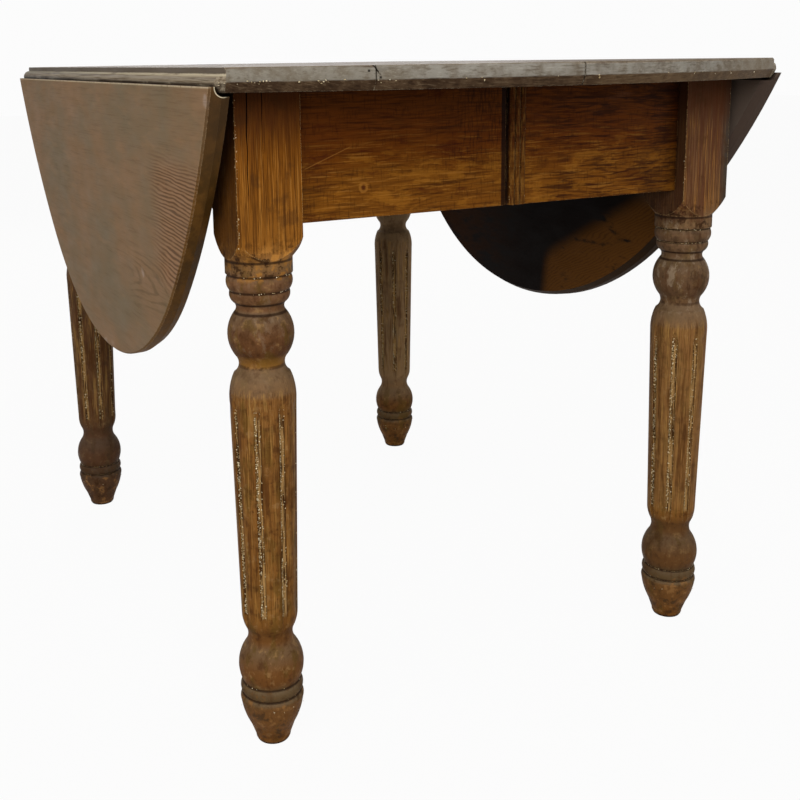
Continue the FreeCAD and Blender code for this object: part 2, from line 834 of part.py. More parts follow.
def fly_rail(label, side):
    """The rail on a side apron's face that carries two brackets on its ends' knuckles."""
    board = box(label + "_board", span(side, "fly_back", "fly_face"), ("-fly_half_rail", "fly_half_rail"),
                ("fly_low", "underside"))
    ends, cuts = [], []
    for end in (FRONT, BACK):
        y = f"{end} * fly_half_rail"
        ends.append(rod(f"{label}_end_{end + 1}", "z", "fly_thick / 2",
                        (f"{side} * fly_axis", y, "fly_low"), "fly_depth"))
        cuts += knuckle_cuts(f"{label}_{end + 1}", side, y, fixed=True)
    keep(cut(label + "_cut", fuse(label + "_blank", board, *ends), *cuts), label)


def fly_bracket(label, side, end):
    """A swinging bracket with an ogee lower edge, shown folded back against the side apron."""
    top = "fly_depth - fly_play"
    middle = ("(fly_straight + fly_reach) / 2", "(fly_depth - fly_tip) / 2")
    points = [
        ("0", "0", "0"),
        ("fly_straight", "0", "fly_swell"),
        (*middle, "-fly_swell"),
        ("fly_reach", "fly_depth - fly_tip", "0"),
        ("fly_reach", top, "0"),
        ("0", top, "0"),
    ]
    y = f"{end} * fly_half_rail"
    arm = profiled(label + "_arm", "YZ_Plane", points, "fly_thick - 2 * fly_play")
    turn(arm, (0, 0, 1), 180 if end == FRONT else 0)
    move(arm, f"{side} * fly_axis", y, "fly_low")
    eye = rod(label + "_eye", "z", "fly_thick / 2 - fly_play", (f"{side} * fly_axis", y, "fly_low"), top)
    blank = fuse(label + "_blank", arm, eye)
    keep(cut(label + "_cut", blank, *knuckle_cuts(label, side, y, fixed=False)), label)


def fly_pins(label, side):
    pins = [rod(f"{label}_{end + 1}", "z", "fly_pin_radius",
                (f"{side} * fly_axis", f"{end} * fly_half_rail", "fly_low"), "fly_depth")
            for end in (FRONT, BACK)]
    keep(group(label + "_group", pins), label)


# Glue blocks

def glue_block(name, facing, x, y):
    """A three-cornered block rubbed into the corner under the top. Facing is the way it looks, about Z."""
    block = doc.addObject("Part::Wedge", name)
    for corner in ("Xmin", "Ymin", "Zmin", "X2min", "X2max", "Z2min"):
        setattr(block, corner, 0)
    for corner in ("Xmax", "Ymax"):
        block.setExpression(corner, worded("glue_block_side"))
    for corner in ("Zmax", "Z2max"):
        block.setExpression(corner, worded("glue_block_length"))
    lying = FreeCAD.Rotation(FreeCAD.Vector(0, 1, 0), 90)
    facing_round = FreeCAD.Rotation(FreeCAD.Vector(0, 0, 1), facing)
    block.Placement = FreeCAD.Placement(FreeCAD.Vector(), facing_round.multiply(lying))
    move(block, x, y, "underside")
    return block


def glue_blocks(label, side):
    """Two blocks behind each half apron and three behind the side apron."""
    half = "glue_block_length / 2"
    blocks = []
    for end in (FRONT, BACK):
        for place in ("glue_block_near", "glue_block_far"):
            blocks.append(glue_block(f"{label}_{len(blocks)}", 0 if end == FRONT else 180,
                                     f"{side} * {place} + {end} * {half}", f"{end} * apron_back"))
    for place in ("-glue_block_end", "0", "glue_block_end"):
        blocks.append(glue_block(f"{label}_{len(blocks)}", 90 * side,
                                 f"{side} * side_back", f"{place} - {side} * {half}"))
    keep(group(label + "_group", blocks), label)


# Assembly

blank = oval_blank()
meeting_left = dowel_holes("left_inner", LEFT, "dowel_radius + pin_play", "dowel_hold")
meeting_right = dowel_holes("right", RIGHT, "dowel_radius + dowel_play", "dowel_reach + dowel_play")
top_board("left_top_outer_board", blank, LEFT, "board_joint", True,
          plate_room("left_top", LEFT, "top") + slide_screw_holes("left_top_outer", LEFT))
top_board("left_top_inner_board", blank, LEFT, "0", False,
          meeting_left + slide_screw_holes("left_top_inner", LEFT))
top_board("right_top_board", blank, RIGHT, "0", True,
          plate_room("right_top", RIGHT, "top") + meeting_right + slide_screw_holes("right_top", RIGHT))
dowels("top_dowels")

# How far round each leg its flutes start, in degrees
FLUTE_ANGLES = {(LEFT, FRONT): 11, (RIGHT, FRONT): -5, (LEFT, BACK): 0, (RIGHT, BACK): 18}

for side, hand in ((LEFT, "left"), (RIGHT, "right")):
    leaf_board(hand + "_leaf", blank, side)
    keep(hinge_plates(hand + "_hinge_top_plates", side, "top"), hand + "_hinge_top_plates")
    keep(plate_screws(hand + "_hinge_top_screws", side, "top"), hand + "_hinge_top_screws")
    keep(hang(hinge_plates(hand + "_hinge_leaf_plates", side, "leaf"), side), hand + "_hinge_leaf_plates")
    keep(hang(plate_screws(hand + "_hinge_leaf_screws", side, "leaf"), side), hand + "_hinge_leaf_screws")
    keep(hinge_pins(hand + "_hinge_pins", side), hand + "_hinge_pins")
    side_apron(hand + "_side_apron", side)
    fly_rail(hand + "_fly_rail", side)
    fly_pins(hand + "_fly_pins", side)
    glue_blocks(hand + "_glue_blocks", side)
    slide_screws(hand + "_slide_screws", side)
    for end, place in ((FRONT, "front"), (BACK, "back")):
        leg(f"{place}_{hand}_leg", side, end, FLUTE_ANGLES[side, end])
        half_apron(f"{place}_{hand}_apron", side, end)
        grooved_slide(f"{place}_{hand}_slide", side, end)
        fly_bracket(f"{place}_{hand}_fly_bracket", side, end)

for end, place in ((FRONT, "front"), (BACK, "back")):
    middle_slide(f"{place}_middle_slide", end)
    cover_strip(f"{place}_cover_strip", end)

doc.recompute()

# Nothing is written unless every feature and every sub-part is sound
for item in doc.Objects:
    if "Invalid" in item.State or "Error" in item.State:
        raise RuntimeError(f"{item.Label} failed: {item.State}")
for piece in sub_parts:
    if piece.Shape.isNull() or not piece.Shape.isValid() or not piece.Shape.Solids:
        raise RuntimeError(f"{piece.Label} has no sound solid")

os.makedirs("parts", exist_ok=True)
for piece in sub_parts:
    piece.Shape.exportStep(f"parts/{piece.Label}.step")
    print(f"{piece.Label}: {len(piece.Shape.Solids)} solids, {piece.Shape.Volume / 1000:.1f} cm3")
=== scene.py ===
import json
import math

import bmesh
import bpy
from mathutils import Matrix, Vector


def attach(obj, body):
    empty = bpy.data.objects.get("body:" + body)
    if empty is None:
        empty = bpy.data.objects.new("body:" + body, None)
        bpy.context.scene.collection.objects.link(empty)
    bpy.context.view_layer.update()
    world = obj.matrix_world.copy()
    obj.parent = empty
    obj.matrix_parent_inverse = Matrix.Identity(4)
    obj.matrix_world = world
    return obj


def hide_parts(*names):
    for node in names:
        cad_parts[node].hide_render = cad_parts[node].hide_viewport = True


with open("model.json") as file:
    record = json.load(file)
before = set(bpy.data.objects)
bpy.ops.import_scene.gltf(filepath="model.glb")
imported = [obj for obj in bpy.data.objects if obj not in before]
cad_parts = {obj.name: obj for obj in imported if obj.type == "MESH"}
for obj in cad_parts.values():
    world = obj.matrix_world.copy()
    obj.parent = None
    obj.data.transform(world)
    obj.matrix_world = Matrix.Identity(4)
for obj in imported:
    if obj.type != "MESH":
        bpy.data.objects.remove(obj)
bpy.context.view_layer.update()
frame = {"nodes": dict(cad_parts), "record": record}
nodes = frame["nodes"]
slot_of = {part["node"]: part["material_slot"] for part in frame["record"]["subparts"]}

# Sizes in metres that the looks share with the solids
MM = 0.001
UNDERSIDE = 0.713
APRON_LOW, APRON_FACE = 0.578, 0.396
# The top's edge, where its upright meets the bevel below, and the joint of the left half's two boards
EDGE_ARRIS = 0.723
BOARD_JOINT = 0.218
# The line that a leaf turns on, and the radius of the hollow along the leaf's hinge edge
HINGE_LINE, HINGE_HEIGHT = 0.347, 0.720
COVE_RADIUS = 0.0108
# The oval is struck from four centres, and its long sides have the second radius
OVAL_HALF_LENGTH, OVAL_HALF_WIDTH = 0.695, 0.533
OVAL_END_RADIUS = OVAL_HALF_WIDTH ** 2 / OVAL_HALF_LENGTH
OVAL_SIDE_RADIUS = ((OVAL_HALF_LENGTH ** 2 + OVAL_HALF_WIDTH ** 2 - 2 * OVAL_HALF_LENGTH * OVAL_END_RADIUS)
                    / (2 * (OVAL_HALF_WIDTH - OVAL_END_RADIUS)))
# A leg's axis from the table's middle, half of its square stock, and its block
LEG_ACROSS, LEG_ALONG = 0.289, 0.376
HALF_STOCK = 0.035
BLOCK_FACE = LEG_ALONG + HALF_STOCK
BLOCK_BOTTOM = 0.545
# Each leg: its side, its end of the table, and how many degrees round its flutes start
LEGS = ((-1, -1, 11), (1, -1, -5), (-1, 1, 0), (1, 1, 18))
FLUTE_COUNT, FLUTE_RADIUS = 8, 0.004
# Height, and distance from the leg's axis, of a flute's middle line at its two ends
FLUTE_LINE = ((0.135, 0.0315), (0.387, 0.0362))
# Height and radius of the leg's tapered shaft at its two ends
SHAFT_LINE = ((0.153, 0.0305), (0.393, 0.0352))
# Heights of the sharp grooves between the leg's turnings
GROOVES = (0.059, 0.073, 0.488, 0.498, 0.511, 0.528, 0.543)

# Stain on the legs from the foot up to the top, and on the aprons, by height
LEG_TONES = (
    (0.000, "#66401a"), (0.050, "#5f3f20"), (0.060, "#524029"), (0.072, "#54412a"), (0.080, "#5f3c1c"),
    (0.135, "#5f3d1c"), (0.156, "#714a1f"), (0.390, "#6c4620"), (0.420, "#6c4a26"), (0.445, "#52331b"),
    (0.480, "#5d3f27"), (0.527, "#64462e"), (0.536, "#7c5b36"), (0.560, "#7a4c18"), (0.600, "#724512"),
    (0.650, "#683c0c"), (0.690, "#5c330c"), (0.713, "#4a270c"),
)
APRON_TONES = (
    (APRON_LOW, "#653b0d"), (0.615, "#683d0d"), (0.641, "#5a2e06"), (0.660, "#562905"), (0.690, "#592c07"),
    (UNDERSIDE, "#572c09"),
)
# Tones that the leaf's outer face and the old paint wander through
LEAF_TONES = ((0.34, "#6c5c45"), (0.47, "#725d44"), (0.57, "#785e43"), (0.68, "#7d6146"))
PAINT_TONES = ((0.32, "#96763f"), (0.46, "#d8bf8d"), (0.60, "#f2e2bd"))
# The knot in the front apron
KNOT = (-0.177, -APRON_FACE, 0.610)
# The heart of the leaf's rings, along the table and by height
HEART_ALONG, HEART_HEIGHT = -0.053, 0.493
# Worm holes on the top's front edge, across the table and by height
WORM_HOLES = ((-BOARD_JOINT - 6.5 * MM, 0.7310), (-BOARD_JOINT + 4.0 * MM, 0.7248))

# The old coats on wood, and the paint: refraction, weak shine, and how far edges are eased
COAT_IOR, COAT_SHINE = 1.45, 0.04
EASED_EDGE = 0.9 * MM
# A figure's values that stand for little and much wear, and the samples taken at edges and in hollows
LITTLE_WEAR, MUCH_WEAR = 0.3, 0.7
EDGE_SAMPLES, HOLLOW_SAMPLES = 4, 6

# Old paint: size of a crumb and of the patches that have kept it, and a crumb's least and greatest scale
CRUMB_SIZE, CRUMB_PATCH = 0.9 * MM, 11 * MM
SMALLEST_CRUMB, LARGEST_CRUMB = (0.25, 0.25, 0.2), (1.25, 1.25, 0.7)
# The two lips of a flute: which hand, and crumbs to the square metre
FLUTE_PAINT = ((-1, 460000), (1, 110000))
# Where the paint on a flute's lips starts and ends: degrees round from the flute's floor, and heights
FLUTE_LIP = (10, 56)
FLUTE_PAINT_LOW, FLUTE_PAINT_HIGH = 0.156, 0.396
# Bands round the turnings: radius and height of the lower and the upper rim, and crumbs to the square metre
RING_PAINT = (
    ((0.0334, 0.5268), (0.0348, 0.5292), 130000),
    ((0.0310, 0.5105), (0.0316, 0.5122), 130000),
    ((0.0316, 0.0585), (0.0320, 0.0600), 90000),
    ((0.0316, 0.0722), (0.0319, 0.0738), 60000),
    ((0.0347, 0.0400), (0.0355, 0.0500), 9000),
)
# Crumbs to the square metre on the block's arrises
OUTER_ARRIS_PAINT, INNER_ARRIS_PAINT = 360000, 40000
# Along the top's edge, from the seam to over the leg and on to the leaf: distances across, and crumbs
EDGE_PAINT_FROM, EDGE_PAINT_LEG, EDGE_PAINT_TO = 2 * MM, 0.235, 0.354
MIDDLE_EDGE_PAINT, LEFT_EDGE_PAINT, RIGHT_EDGE_PAINT = 16000, 95000, 12000
# The quirks between the cover strip's beads: distances across, and crumbs
STRIP_QUIRKS = (7 * MM, 14 * MM, 21 * MM, 28 * MM)
STRIP_PAINT = 90000

# The photograph's camera, fitted to the table's own lines: degrees, millimetres, and shares of the frame
CAMERA_PLACE = (-0.701, -1.397, 0.742)
CAMERA_YAW, CAMERA_PITCH, CAMERA_ROLL = 27.06, 10.98, -0.86
LENS_LENGTH, SENSOR_WIDTH = 48.9, 36
CAMERA_SHIFT = (0.0576, -0.163)
# Lamps: place, the point that each looks at, width in metres and power in watts
LAMPS = {
    "key_lamp": ((-1.0, -2.8, 2.1), (0, 0, 0.5), 2.2, 80),
    "side_lamp": ((-2.6, -1.6, 1.7), (-0.3, 0, 0.5), 1.8, 34),
    "fill_lamp": ((2.4, -2.2, 1.4), (0, 0, 0.5), 2.0, 12),
    "back_lamp": ((1.2, 2.9, 1.9), (0, 0, 0.5), 2.2, 35),
}
# Strength of the light all round and of the backdrop, half the floor's side, and its share of plain white
ALL_ROUND_LIGHT, BACKDROP = 0.42, 0.972
FLOOR_HALF, FLOOR_WHITE = 15.0, 0.95


def linear(code):
    """An sRGB hex colour as the linear colour that shaders take, by the sRGB curve."""
    channels = [int(code[place:place + 2], 16) / 255 for place in (1, 3, 5)]
    return [c / 12.92 if c <= 0.04045 else ((c + 0.055) / 1.055) ** 2.4 for c in channels] + [1]


def oval_reach(across):
    """How far the oval's long side lies from the table's middle line, at a distance across the table."""
    return math.sqrt(OVAL_SIDE_RADIUS ** 2 - across ** 2) - OVAL_SIDE_RADIUS + OVAL_HALF_WIDTH


def spaced(first, last, count):
    """Evenly spaced values, with both ends among them."""
    return [first + (last - first) * step / (count - 1) for step in range(count)]


def per(millimetres):
    """The texture scale at which a pattern's features are about this big."""
    return 1 / (millimetres * MM)


def put(name, data):
    """A new object in the scene."""
    thing = bpy.data.objects.new(name, data)
    bpy.context.scene.collection.objects.link(thing)
    return thing


def add(tree, kind, links=None, out=0, stops=(), **settings):
    """Add a node with its settings, links and colour stops. Gives one of its outputs, or all for None."""
    node = tree.nodes.new(kind)
    for name, value in settings.items():
        setattr(node, name, value)
    for socket, value in (links or {}).items():
        if isinstance(value, bpy.types.NodeSocket):
            tree.links.new(value, node.inputs[socket])
        else:
            node.inputs[socket].default_value = value
    for place, code in stops:
        elements = node.color_ramp.elements
        element = elements[0] if place == stops[0][0] else elements.new(place)
        element.position = place
        element.color = linear(code)
    return node.outputs if out is None else node.outputs[out]


def blank_tree(owner):
    """The nodes of a material or a world, emptied."""
    owner.use_nodes = True
    owner.node_tree.nodes.clear()
    return owner.node_tree


def blank_finish(name):
    """A new finish: the material, its nodes, and where each point is and looks."""
    material = bpy.data.materials.new(name)
    tree = blank_tree(material)
    return material, tree, add(tree, "ShaderNodeTexCoord", out=None)


def figure(tree, place, millimetres, along="z", stretch=1, shift=(0, 0, 0), detail=4.0, harshness=0.6,
           bend=0.0):
    """A wood's figure: cloudy values of about one size, drawn out along the grain."""
    scale = [1 / stretch if axis == along else 1 for axis in "xyz"]
    drawn = add(tree, "ShaderNodeMapping", {"Vector": place, "Location": shift, "Scale": scale})
    return add(tree, "ShaderNodeTexNoise", {"Vector": drawn, "Scale": per(millimetres), "Detail": detail,
                                            "Roughness": harshness, "Distortion": bend})


def drifted(tree, value, cloud, width):
    """A value that a figure pushes up and down, by half of this width each way."""
    pushed = add(tree, "ShaderNodeMath", {0: cloud, 1: width, 2: value}, operation="MULTIPLY_ADD")
    return add(tree, "ShaderNodeMath", {0: pushed, 1: width / 2}, operation="SUBTRACT")


def around(value, middle, outer, inner):
    """The two edges of a zone round a middle: none beyond the outer distance, and whole within the inner."""
    return (value, middle - outer, middle - inner), (value, middle + outer, middle + inner)


def zone(tree, *edges):
    """One where each value has passed from its first to its second mark, softened between them."""
    whole = 1.0
    for value, nought, one in edges:
        passed = add(tree, "ShaderNodeMapRange", {"Value": value, "From Min": nought, "From Max": one},
                     interpolation_type="SMOOTHSTEP")
        whole = add(tree, "ShaderNodeMath", {0: passed, 1: whole}, operation="MULTIPLY")
    return whole


def stain(tree, under, *coats):
    """Lay coats over a colour, each one a colour, its strength at most, and the edges of its zone."""
    for over, strength, *edges in coats:
        amount = add(tree, "ShaderNodeMath", {0: zone(tree, *edges), 1: strength}, operation="MULTIPLY")
        tint = linear(over) if isinstance(over, str) else over
        # Sockets 6, 7 and 2 are the two colours and the result
        under = add(tree, "ShaderNodeMix", {0: amount, 6: under, 7: tint}, out=2, data_type="RGBA")
    return under


def paint_hollow_shade(tree, under, code, strength, millimetres, clear, deep):
    """Paint shade into hollows of about this size, from where they are clear to where they are deep."""
    shelter = add(tree, "ShaderNodeAmbientOcclusion", {"Distance": millimetres * MM}, out="AO",
                  samples=HOLLOW_SAMPLES)
    return stain(tree, under, (code, strength, (shelter, clear, deep)))


def growth_rings(tree, distance, millimetres):
    """Waves between minus one and one along a distance, one to each year's growth."""
    turn = 2 * math.pi * per(millimetres)
    turns = add(tree, "ShaderNodeMath", {0: distance, 1: turn}, operation="MULTIPLY")
    return add(tree, "ShaderNodeMath", {0: turns}, operation="SINE")


def arris(tree, millimetres):
    """How far the surface keeps its direction over this width: one on open faces, less at sharp edges."""
    eased = add(tree, "ShaderNodeBevel", {"Radius": millimetres * MM}, samples=EDGE_SAMPLES)
    facing = add(tree, "ShaderNodeNewGeometry", out="Normal")
    return add(tree, "ShaderNodeVectorMath", {0: eased, 1: facing}, out="Value", operation="DOT_PRODUCT")


def lay_finish(tree, colour, relief, depth, wear, smooth, rough):
    """Join a colour, a relief of some depth in millimetres, and the roughness at little and at much wear."""
    eased = add(tree, "ShaderNodeBevel", {"Radius": EASED_EDGE}, samples=EDGE_SAMPLES)
    bump = add(tree, "ShaderNodeBump", {"Height": relief, "Distance": depth * MM, "Normal": eased})
    roughness = add(tree, "ShaderNodeMapRange", {"Value": wear, "From Min": LITTLE_WEAR,
                                                 "From Max": MUCH_WEAR, "To Min": smooth, "To Max": rough})
    shader = add(tree, "ShaderNodeBsdfPrincipled",
                 {"Base Color": colour, "Roughness": roughness, "Normal": bump, "IOR": COAT_IOR,
                  "Specular IOR Level": COAT_SHINE})
    add(tree, "ShaderNodeOutputMaterial", {"Surface": shader}, out=None)


# Woods

def stained_turned_ash():
    """Ash turned on a lathe under worn stain: golden fibres, dust and painted sheen on what looks up,
    dark grooves, and painted shade in the turnings.
    """
    material, tree, coordinates = blank_finish("stained_turned_ash")
    place = coordinates["Object"]
    x, y, z = add(tree, "ShaderNodeSeparateXYZ", {0: place}, out=None)
    facing = add(tree, "ShaderNodeSeparateXYZ", {0: coordinates["Normal"]}, out=None)
    # Where each leg stands, and the parts of a leg by height
    front, back = (y, 0.2, -0.2), (y, -0.2, 0.2)
    left, right = (x, 0.1, -0.1), (x, -0.1, 0.1)
    shaft = ((z, 0.145, 0.165), (z, 0.415, 0.402))
    above_shaft = (z, 0.40, 0.43)
    turned = (z, BLOCK_BOTTOM, BLOCK_BOTTOM - 10 * MM)
    band = (z, 0.520, 0.530)
    block = (z, 0.53, BLOCK_BOTTOM)
    block_sides = (z, BLOCK_BOTTOM, BLOCK_BOTTOM + 11 * MM)
    # Stain that changes with height, and dust with a painted sheen on what looks up
    blotch = figure(tree, place, 26)
    patch = figure(tree, place, 11, detail=5.0, harshness=0.65)
    colour = add(tree, "ShaderNodeValToRGB", {"Fac": drifted(tree, z, blotch, 16 * MM)}, stops=LEG_TONES)
    dust_and_sheen = ((facing["Z"], 0.0, 0.6), (z, BLOCK_BOTTOM, BLOCK_BOTTOM - 20 * MM))
    colour = stain(tree, colour, ("#5f503c", 0.55, *dust_and_sheen))
    # Dark and rubbed patches on the turnings, olive where the old finish has kept
    olive = figure(tree, place, 17, "z", 2.5, shift=(0.2, 0.3, 0.1))
    colour = stain(tree, colour,
                   ("#4f3a14", 0.60, (olive, 0.50, 0.62), turned),
                   ("#38200d", 0.60, (patch, 0.52, 0.66), turned),
                   ("#8a6a42", 0.45, (patch, 0.45, 0.34), turned))
    # Painted shade on the back left leg and painted light on the back right; the front right grimy, right
    # blocks grey
    colour = stain(tree, colour,
                   ("#382a24", 0.58, back, left),
                   ("#836c50", 0.65, back, right, (z, 0.08, 0.16)),
                   ("#574634", 0.45, front, right, turned, above_shaft),
                   ("#3f2f1e", 0.40, front, right, (z, 0.15, 0.13), (z, 0.06, 0.075)),
                   ("#7c5a35", 0.45, front, right, (z, 0.15, 0.17), (z, 0.42, 0.40)),
                   ("#50453a", 0.45, right, block))
    # Mottled grime and bare grey on the front turnings, most on the right
    mottle = figure(tree, place, 13, "z", 1.6, shift=(0.1, 0.7, 0.2), detail=5.0, harshness=0.7)
    for hand, strength in ((left, 0.20), (right, 0.55)):
        colour = stain(tree, colour,
                       ("#2c1e12", strength, (mottle, 0.52, 0.62), front, hand, turned, above_shaft),
                       ("#85735e", strength, (mottle, 0.46, 0.36), front, hand, turned, above_shaft))
    # The front shafts' shoulders grey with dust and painted sheen, grime above, and the left neck rubbed
    # golden
    colour = stain(tree, colour,
                   ("#6b553e", 0.50, front, (z, 0.400, 0.406), (z, 0.434, 0.430)),
                   ("#8a6026", 0.40, front, left, (z, 0.430, 0.433), (z, 0.446, 0.440)),
                   ("#2e1b0c", 0.60, front, *around(z, 0.4315, 2.5 * MM, 1.0 * MM), (patch, 0.40, 0.52)))
    # Fine upright fibres, about 1 mm apart, on the shaft and the square block
    fibre = figure(tree, place, 1.1, "z", 50, detail=3.0, harshness=0.65)
    pale_fibre = figure(tree, place, 1.3, "z", 50, shift=(0.4, 0.2, 0.0), detail=3.0, harshness=0.65)
    colour = stain(tree, colour,
                   ("#3a200a", 0.50, (fibre, 0.48, 0.62), *shaft),
                   ("#a27a3e", 0.45, (pale_fibre, 0.54, 0.68), *shaft),
                   ("#2f1504", 0.65, (fibre, 0.47, 0.60), block_sides),
                   ("#a8722f", 0.55, (pale_fibre, 0.53, 0.66), block_sides, (z, 0.70, 0.63)))
    # Broader streaks, red stain on the right-hand blocks, and painted shade in dark grey on their outer faces
    streak = figure(tree, place, 7, "z", 12, shift=(0.3, 0.1, 0.0))
    red = figure(tree, place, 3, "z", 40, shift=(0.1, 0.5, 0.0))
    colour = stain(tree, colour,
                   ("#3c1e08", 0.35, (streak, 0.54, 0.68)),
                   ("#3f220b", 0.50, (streak, 0.50, 0.64), *shaft),
                   ("#94703c", 0.40, (streak, 0.45, 0.35), *shaft),
                   ("#4a2a1a", 0.75, (red, 0.45, 0.56), right, block),
                   ("#322f29", 0.86, (x, 0.306, 0.323), block))
    # Old finish has run down from under the top, in dark streaks that also paint shade under the top
    drips = figure(tree, place, 5, "z", 9)
    run = add(tree, "ShaderNodeMath", {0: drips, 1: 100 * MM, 2: z}, operation="MULTIPLY_ADD")
    colour = stain(tree, colour, ("#45220a", 0.62, (run, 0.702, 0.745)))
    # Rubbed bare and blackened patches on the band under the block and on the foot, and blotches all over
    colour = stain(tree, colour,
                   ("#a06d30", 0.75, (patch, 0.52, 0.60), band, (z, 0.570, 0.548), left),
                   ("#2c190a", 0.85, (patch, 0.48, 0.40), band, (z, 0.575, 0.548)),
                   ("#8c6338", 0.55, (patch, 0.53, 0.63), (z, 0.075, 0.055)),
                   ("#301d0d", 0.80, (patch, 0.47, 0.37), (z, 0.085, 0.055)),
                   ("#3a220e", 0.45, (blotch, 0.54, 0.68)))
    # The sides of the blocks that look to the left are darker: painted shade from the left leaf and the
    # aprons
    colour = stain(tree, colour, ("#28160a", 0.64, (facing["X"], -0.6, -0.85), block))
    # Dark lines along the grooves of the turning
    for groove in GROOVES:
        colour = stain(tree, colour, ("#1f1108", 0.80, *around(z, groove, 2.0 * MM, 0.6 * MM)))
    # The flutes are darker by their depth below the shaft's taper, with traces of paint in them
    from_axis = add(tree, "ShaderNodeVectorMath", {0: place}, operation="ABSOLUTE")
    from_axis = add(tree, "ShaderNodeMapping", {"Vector": from_axis, "Location": (-LEG_ACROSS, -LEG_ALONG, 0),
                                                "Scale": (1, 1, 0)})
    radius = add(tree, "ShaderNodeVectorMath", {0: from_axis}, out="Value", operation="LENGTH")
    (low, low_radius), (high, high_radius) = SHAFT_LINE
    taper = add(tree, "ShaderNodeMapRange", {"Value": z, "From Min": low, "From Max": high,
                                             "To Min": low_radius, "To Max": high_radius})
    depth = add(tree, "ShaderNodeMath", {0: taper, 1: radius}, operation="SUBTRACT")
    fluted = ((z, low, low + 4 * MM), (z, high - 8 * MM, high - 16 * MM))
    trace = figure(tree, place, 2.5, "z", 14, shift=(0.5, 0.2, 0.4))
    colour = stain(tree, colour,
                   ("#2e1a0a", 0.80, (depth, 0.6 * MM, 1.0 * MM), *fluted),
                   ("#a5814f", 0.75, (depth, 1.1 * MM, 2.0 * MM), (trace, 0.40, 0.56), *fluted))
    # A pale line where edges are worn, but none on the open faces of the block
    speck = figure(tree, place, 2.4, detail=2.0)
    offset = add(tree, "ShaderNodeVectorMath", {0: from_axis}, operation="ABSOLUTE")
    offset = add(tree, "ShaderNodeSeparateXYZ", {0: offset}, out=None)
    nearer = add(tree, "ShaderNodeMath", {0: offset["X"], 1: offset["Y"]}, operation="MINIMUM")
    open_face = zone(tree, (nearer, HALF_STOCK - 1 * MM, HALF_STOCK - 2 * MM),
                     (z, BLOCK_BOTTOM + 10 * MM, BLOCK_BOTTOM + 20 * MM))
    worn = ((arris(tree, 0.9), 0.97, 0.88), (speck, 0.42, 0.54), (open_face, 0.6, 0.4))
    colour = stain(tree, colour, ("#c0a06c", 0.75, *worn))
    # Painted shade in the leg's hollows and where other parts come near
    colour = paint_hollow_shade(tree, colour, "#1e1007", 0.85, 7, 0.76, 0.42)
    # The walls of the splits in the front left block are dark, and lie behind its front face
    behind = ((y, -BLOCK_FACE + 0.1 * MM, -BLOCK_FACE + 0.5 * MM),
              (y, -BLOCK_FACE + 11 * MM, -BLOCK_FACE + 8 * MM))
    colour = stain(tree, colour,
                   ("#150a05", 0.95, *around(x, -0.3115, 6.5 * MM, 5.0 * MM), (z, 0.605, 0.612), *behind),
                   ("#150a05", 0.95, *around(x, -0.2950, 3.5 * MM, 2.5 * MM), (z, 0.645, 0.652), *behind))
    relief = add(tree, "ShaderNodeMath", {0: patch, 1: 0.7, 2: fibre}, operation="MULTIPLY_ADD")
    lay_finish(tree, colour, relief, depth=0.45, wear=blotch, smooth=0.46, rough=0.64)
    return material


